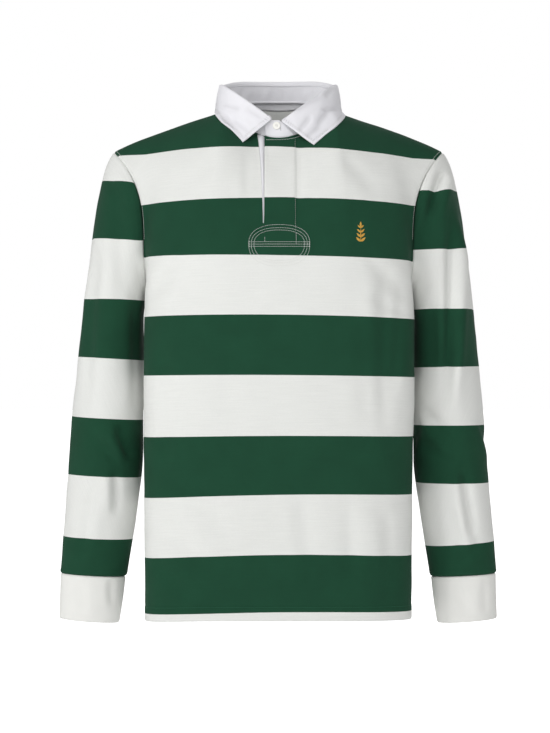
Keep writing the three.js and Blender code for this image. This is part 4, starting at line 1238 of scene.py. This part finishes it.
def make_leaf():
    angles = np.linspace(LEAF_RIGHT_END, LEAF_LEFT_END, LEAF_COLUMNS)
    grid = np.array([leaf_column(angle) for angle in angles]).transpose(1, 0, 2)
    grid = softened(grid, LEAF_SMOOTHING, LEAF_ROLL_ROWS)
    normals = unit(np.cross(np.gradient(grid, axis=1), np.gradient(grid, axis=0)))
    if (normals[-6] * outward(angles)).sum() < 0:
        normals = -normals
    edge = np.min([edge_distance(grid, *side) for side in ((0, 1), (1, 0), (1, 1))], axis=0)
    long, short = COLLAR_SWELLS
    swell = unevenness(grid, long, SEEDS["collar"]) + 0.5 * unevenness(grid, short, SEEDS["collar"] + 1)
    swell = UNEVEN["collar"] * swell
    swell = swell * ease(clamp01(edge_distance(grid, 0, 0) / 18))
    sunk = 0.3 * bell(edge, LEAF_STITCH, 1.3) + 0.5 * rounded(edge, 1.2)
    proud = TWILL / 2 + FOLD_PROUD * clamp01((LEAF_STITCH - edge) / 2)
    pucker = leaf_puckers(grid, edge)
    creases = crease_depth("collar_leaf", grid, normals) * ease(clamp01(edge / 6))
    grid = grid + normals * (proud + swell + pucker - sunk - creases)[..., None]
    # The shade attribute is painted shade, high in the puckers' valleys and in the creases' troughs, for
    # the twill to darken
    return surface_of(grid, normals, shade=clamp01(-pucker / PUCKER) + 0.4 * clamp01(creases))


leaf = make_leaf()
make_cloth(
    "collar_leaf", leaf, LEAF_THICKNESS, twill, "twill",
    flat=(0.48, 0.08), held="folded", rests_on=["collar_stand_cloth"], area=0.0265,
)


def make_tape():
    """Tape inside the back's top rows, with its upper edge turned up behind the stand"""
    columns = np.flatnonzero(np.abs(side_shares) < NECK_SHARE * TAPE_SHARE)
    inner = np.ix_(np.flatnonzero(fine_rows > ROWS - TAPE_ROWS), columns)
    normals = back["normals"][inner]
    grid = back["grid"][inner] - normals * (JERSEY + TAPE_CLEAR)
    grid = np.concatenate([grid, grid[-1:] + np.array(TAPE_TOP)])
    return surface_of(grid, np.concatenate([normals, normals[-1:]]))


tape = make_tape()
make_cloth(
    "neck_tape", tape, TAPE_THICKNESS, twill, "twill",
    flat=(0.155, 0.0205), held="laid", rests_on=["back_cloth"],
)


# Sewing

def stitches(name, lines, slot, material=thread, pitch=STITCH_PITCH, length=0.7, radius=THREAD, rise=0.22):
    """Rows of stitches. A line is its points and the normals there."""
    verts, faces = [], []
    sides, rings = STITCH_SIDES, STITCH_RINGS
    for line, facing in lines:
        lengths = distances(line)
        count = max(1, int(lengths[-1] / pitch))
        step = lengths[-1] / count
        for k in range(count):
            middle = (k + 0.5) * step
            half = step * length / 2
            a, b = read_line(line, lengths, middle - half), read_line(line, lengths, middle + half)
            up = unit(read_line(facing, lengths, middle))
            tangent = unit(b - a)
            aside = np.cross(tangent, up)
            base = len(verts)
            for along_share, high, wide in rings:
                centre = mix(a, b, along_share + 0.5) + up * rise * high
                for turn in range(sides):
                    angle = 2 * math.pi * turn / sides
                    verts.append(centre + radius * wide * (aside * math.cos(angle) + up * math.sin(angle)))
            for r in range(len(rings) - 1):
                for turn in range(sides):
                    after = (turn + 1) % sides
                    low, high_ring = base + r * sides, base + (r + 1) * sides
                    faces.append((low + turn, high_ring + turn, high_ring + after, low + after))
            faces.append(tuple(base + turn for turn in range(sides)))
            faces.append(tuple(base + (len(rings) - 1) * sides + turn for turn in reversed(range(sides))))
    return make_object(name, verts, faces, {}, material)


def inset(surface, axis, end, distance, start=0, stop=None):
    """Line on a surface at a distance from its first or last row or column"""
    grid, normals = surface["grid"], surface["normals"]
    if axis == 0:
        grid, normals = grid.transpose(1, 0, 2), normals.transpose(1, 0, 2)
    if end == 1:
        grid, normals = grid[:, ::-1], normals[:, ::-1]
    line, facing = [], []
    for k in range(start, len(grid) if stop is None else stop):
        lengths = distances(grid[k])
        line.append(read_line(grid[k], lengths, distance))
        facing.append(read_line(normals[k], lengths, distance))
    return np.array(line), np.array(facing)


def on_cloth(tree, xs, zs):
    """Places and normals where lines from the front meet the cloth"""
    places, facings = [], []
    for x, z in zip(xs, zs):
        hit, normal, _, _ = tree.ray_cast(Vector((x, SIGHT_Y, z)), Vector((0, 1, 0)))
        places.append(np.array(hit))
        facings.append(np.array(normal))
    return np.array(places), np.array(facings)


front_tree = tree_of(front_cloth, overlap_cloth, facing_cloth)


def oval_line(row):
    """One row of the oval that holds the placket's foot"""
    turns = np.linspace(0, 2 * math.pi, 181)
    power = 2 / OVAL_SQUARENESS
    height = np.where(np.sin(turns) > 0, OVAL["above"][row], OVAL["below"][row])
    x = OVAL["half_width"][row] * signed_power(np.cos(turns), power)
    return on_cloth(front_tree, OVAL_X + x, OVAL_Z + height * signed_power(np.sin(turns), power))


def straight_line(start, end, steps=40):
    """Line of stitching on the front between two places (x, z)"""
    return on_cloth(front_tree, np.linspace(start[0], end[0], steps), np.linspace(start[1], end[1], steps))


def sew_body():
    armhole_rows = int(np.flatnonzero(fine_rows >= LOWER_ROWS + ARMHOLE_FROM)[0])
    for name, panel in (("front", front), ("back", back)):
        armhole_lines = [inset(panel, 1, end, ARMHOLE_STITCH, armhole_rows) for end in (0, 1)]
        stitches(f"stitching_{name}", armhole_lines, "jersey")
        hem_line = inset(panel, 0, 0, HEM_STITCH)
        stitches(f"stitching_hem_{name}", [hem_line], "jersey", material=green_thread)


def sew_placket():
    bar = OVAL["half_width"][0] - BAR_INSET
    lines = [oval_line(row) for row in range(3)]
    lines += [straight_line((OVAL_X - bar, OVAL_Z + up), (OVAL_X + bar, OVAL_Z + up)) for up in BAR_ROWS]
    for x in (OVAL_X - bar, OVAL_X + bar):
        lines.append(straight_line((x, OVAL_Z + BAR_END), (x, OVAL_Z - BAR_END), 8))
    lines += [
        straight_line((OVERLAP_EDGE + 0.7, OVAL_Z + 10), (OVERLAP_EDGE + 0.7, OVAL_Z + 3), 8),
        straight_line((OVERLAP_STITCH + 1, OVAL_Z + 16), (OVERLAP_STITCH + 1, OVAL_Z), 10),
    ]
    stitches("stitching_oval", lines, "jersey", pitch=DENSE_PITCH, length=0.8)
    xs = np.linspace(NECK_STITCH["x"][0], NECK_STITCH["x"][-1], 60)
    neck_line = on_cloth(front_tree, xs, np.interp(xs, NECK_STITCH["x"], NECK_STITCH["z"]))
    stitches("stitching_neck", [neck_line], "jersey", pitch=DENSE_PITCH, length=0.85)
    line = straight_line((OVERLAP_STITCH, NECK_STITCH["z"][2]), (OVERLAP_STITCH, OVAL_Z + 18), 60)
    stitches("stitching_placket", [line], "jersey", length=0.55, radius=FINE_THREAD)


def satin_leaf(base, lean, length, width):
    """Parallel threads that fill a small leaf. lean is its angle from upright."""
    way = np.array([math.sin(lean * DEGREE), math.cos(lean * DEGREE)])
    aside = np.array([way[1], -way[0]])
    lines = []
    for share in np.arange(0.06, 0.98, SATIN_STEP / length):
        half = width / 2 * math.sin(math.pi * share ** 0.85)
        middle = np.array(base) + way * length * share
        lines.append(straight_line(middle - aside * half, middle + aside * half, 4))
    return lines


def sew_sprig():
    """Pairs of leaves on a stem, with one leaf on top"""
    lines = []
    for share in np.linspace(0, 1, SPRIG_PAIRS):
        base = (SPRIG_X, SPRIG_Z - SPRIG_HEIGHT * (0.5 - 0.68 * share))
        size = mix(9.0, 6.0, share)
        for lean in (-48, 48):
            lines += satin_leaf(base, lean, size, size * 0.42)
    lines += satin_leaf((SPRIG_X, SPRIG_Z + SPRIG_HEIGHT * 0.22), 0, 8, 3.2)
    lines += satin_leaf((SPRIG_X, SPRIG_Z - SPRIG_HEIGHT * 0.52), 0, SPRIG_HEIGHT * 0.8, 1.3)
    look = dict(material=gold_thread, pitch=99, length=1, radius=SATIN_THREAD)
    stitches("embroidered_sprig", lines, "jersey", **look)


def sew_collar():
    last_row = leaf["grid"].shape[0] - 6
    leaf_lines = [
        inset(leaf, 0, 1, LEAF_STITCH, 7, LEAF_COLUMNS - 7),
        inset(leaf, 1, 0, LEAF_STITCH, LEAF_ROLL_ROWS, last_row),
        inset(leaf, 1, 1, LEAF_STITCH, LEAF_ROLL_ROWS, last_row),
    ]
    stitches("stitching_collar", leaf_lines, "twill", pitch=COLLAR_PITCH)
    stand_lines = [
        inset(stand, 0, 0, TAPE_STITCH),
        inset(stand, 0, 1, TOPSTITCH, 0, 12),
        inset(stand, 0, 1, TOPSTITCH, 180),
    ]
    stitches("stitching_stand", stand_lines, "twill", pitch=COLLAR_PITCH)
    line, facing = inset(tape, 0, 0, TAPE_STITCH)
    stitches("stitching_tape", [(line - facing * TAPE_THICKNESS, -facing)], "twill")


sew_body()
sew_placket()
sew_sprig()
sew_collar()


# Button

def make_button():
    """Button as rings round its middle: a sunken face with four holes, a raised rim and a back"""
    face = [(radius, BUTTON_FACE) for radius in np.linspace(0.2, BUTTON_FACE_RADIUS, 18)]
    rings = face + BUTTON_RIM
    verts, faces = [(0, -BUTTON_FACE, 0)], []
    for radius, height in rings:
        for turn in range(BUTTON_SIDES):
            angle = 2 * math.pi * turn / BUTTON_SIDES
            x, z = radius * math.cos(angle), radius * math.sin(angle)
            hole = math.hypot(abs(x) - BUTTON_HOLE_AT, abs(z) - BUTTON_HOLE_AT)
            sunk = BUTTON_HOLE_DEPTH * float(ease(clamp01((BUTTON_HOLE_RADIUS - hole) / 0.3 + 0.5)))
            verts.append((x, -(height - (sunk if radius < BUTTON_FACE_RADIUS else 0)), z))
    verts.append((0, 0, 0))
    last = len(verts) - 1
    end = last - BUTTON_SIDES
    for turn in range(BUTTON_SIDES):
        after = (turn + 1) % BUTTON_SIDES
        faces.append((0, 1 + after, 1 + turn))
        for a in range(1, end, BUTTON_SIDES):
            b = a + BUTTON_SIDES
            faces.append((a + turn, a + after, b + after, b + turn))
        faces.append((end + turn, end + after, last))
    return np.array(verts, float), faces


stand_tree = tree_of(stand_cloth)
button_seat, _ = on_cloth(stand_tree, [BUTTON_X], [BUTTON_Z])
centre = button_seat[0] + np.array([0, -0.5, 0])
verts, faces = make_button()
button = make_object("button_disc", verts + centre, faces, {}, resin)
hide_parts("button")
bars = []
for x in (-BUTTON_HOLE_AT, BUTTON_HOLE_AT):
    ends = centre + np.array([(x, -BUTTON_FACE, -BUTTON_HOLE_AT), (x, -BUTTON_FACE, BUTTON_HOLE_AT)])
    bars.append((ends, np.array([[0, -1.0, 0]] * 2)))


stitches("button_thread", bars, "button_resin", pitch=9, length=1, radius=THICK_THREAD, rise=0.3)
hole_xs, hole_zs = np.linspace(*BUTTONHOLE_X, 12), np.linspace(*BUTTONHOLE_Z, 12)
hole_line = on_cloth(stand_tree, hole_xs, hole_zs)
look = dict(material=grey_thread, pitch=1.1, length=1, radius=THICK_THREAD)
stitches("stitching_buttonhole", [hole_line], "twill", **look)


# Floor, light and camera

def white_to_camera(tree, light, socket):
    """Sets a strength of 1 where the camera looks, and of light elsewhere"""
    path = tree.nodes.new("ShaderNodeLightPath")
    strength = tree.nodes.new("ShaderNodeMapRange")
    strength.inputs["To Min"].default_value = light
    tree.links.new(path.outputs["Is Camera Ray"], strength.inputs["Value"])
    tree.links.new(strength.outputs["Result"], socket)


def make_floor():
    mesh = bpy.data.meshes.new("floor")
    corners = [(-1, -1), (1, -1), (1, 1), (-1, 1)]
    mesh.from_pydata([(x * FLOOR_HALF, y * FLOOR_HALF, FLOOR_Z) for x, y in corners], [], [(0, 1, 2, 3)])
    material = bpy.data.materials.new("pale_floor")
    material.use_nodes = True
    shader = material.node_tree.nodes["Principled BSDF"]
    shader.inputs["Base Color"].default_value = (0.9, 0.9, 0.9, 1)
    shader.inputs["Roughness"].default_value = 0.9
    shader.inputs["Emission Color"].default_value = (1, 1, 1, 1)
    white_to_camera(material.node_tree, FLOOR_LIGHT, shader.inputs["Emission Strength"])
    mesh.materials.append(material)
    floor = bpy.data.objects.new("floor", mesh)
    bpy.context.scene.collection.objects.link(floor)


def area_light(name, place, target, size, power):
    data = bpy.data.lights.new(name, "AREA")
    data.shape = "RECTANGLE"
    data.size, data.size_y = size
    data.energy = power
    lamp = bpy.data.objects.new(name, data)
    lamp.location = place
    lamp.rotation_euler = (Vector(target) - Vector(place)).to_track_quat("-Z", "Y").to_euler()
    bpy.context.scene.collection.objects.link(lamp)


def make_world():
    world = bpy.data.worlds.new("studio")
    world.use_nodes = True
    background = world.node_tree.nodes["Background"]
    background.inputs["Color"].default_value = (1, 1, 1, 1)
    white_to_camera(world.node_tree, WORLD_LIGHT, background.inputs["Strength"])
    bpy.context.scene.world = world


make_floor()
make_world()
for lamp_name, place, size, power in LIGHTS:
    area_light(lamp_name, place, (0, 0, -0.35), size, power)


bpy.context.scene.view_settings.view_transform = "Standard"

camera_data = bpy.data.cameras.new("camera")
camera_data.lens = LENS
camera = bpy.data.objects.new("camera", camera_data)
camera.location = CAMERA
camera.rotation_euler = (math.pi / 2, 0, 0)
bpy.context.scene.collection.objects.link(camera)
bpy.context.scene.camera = camera

bpy.context.view_layer.update()
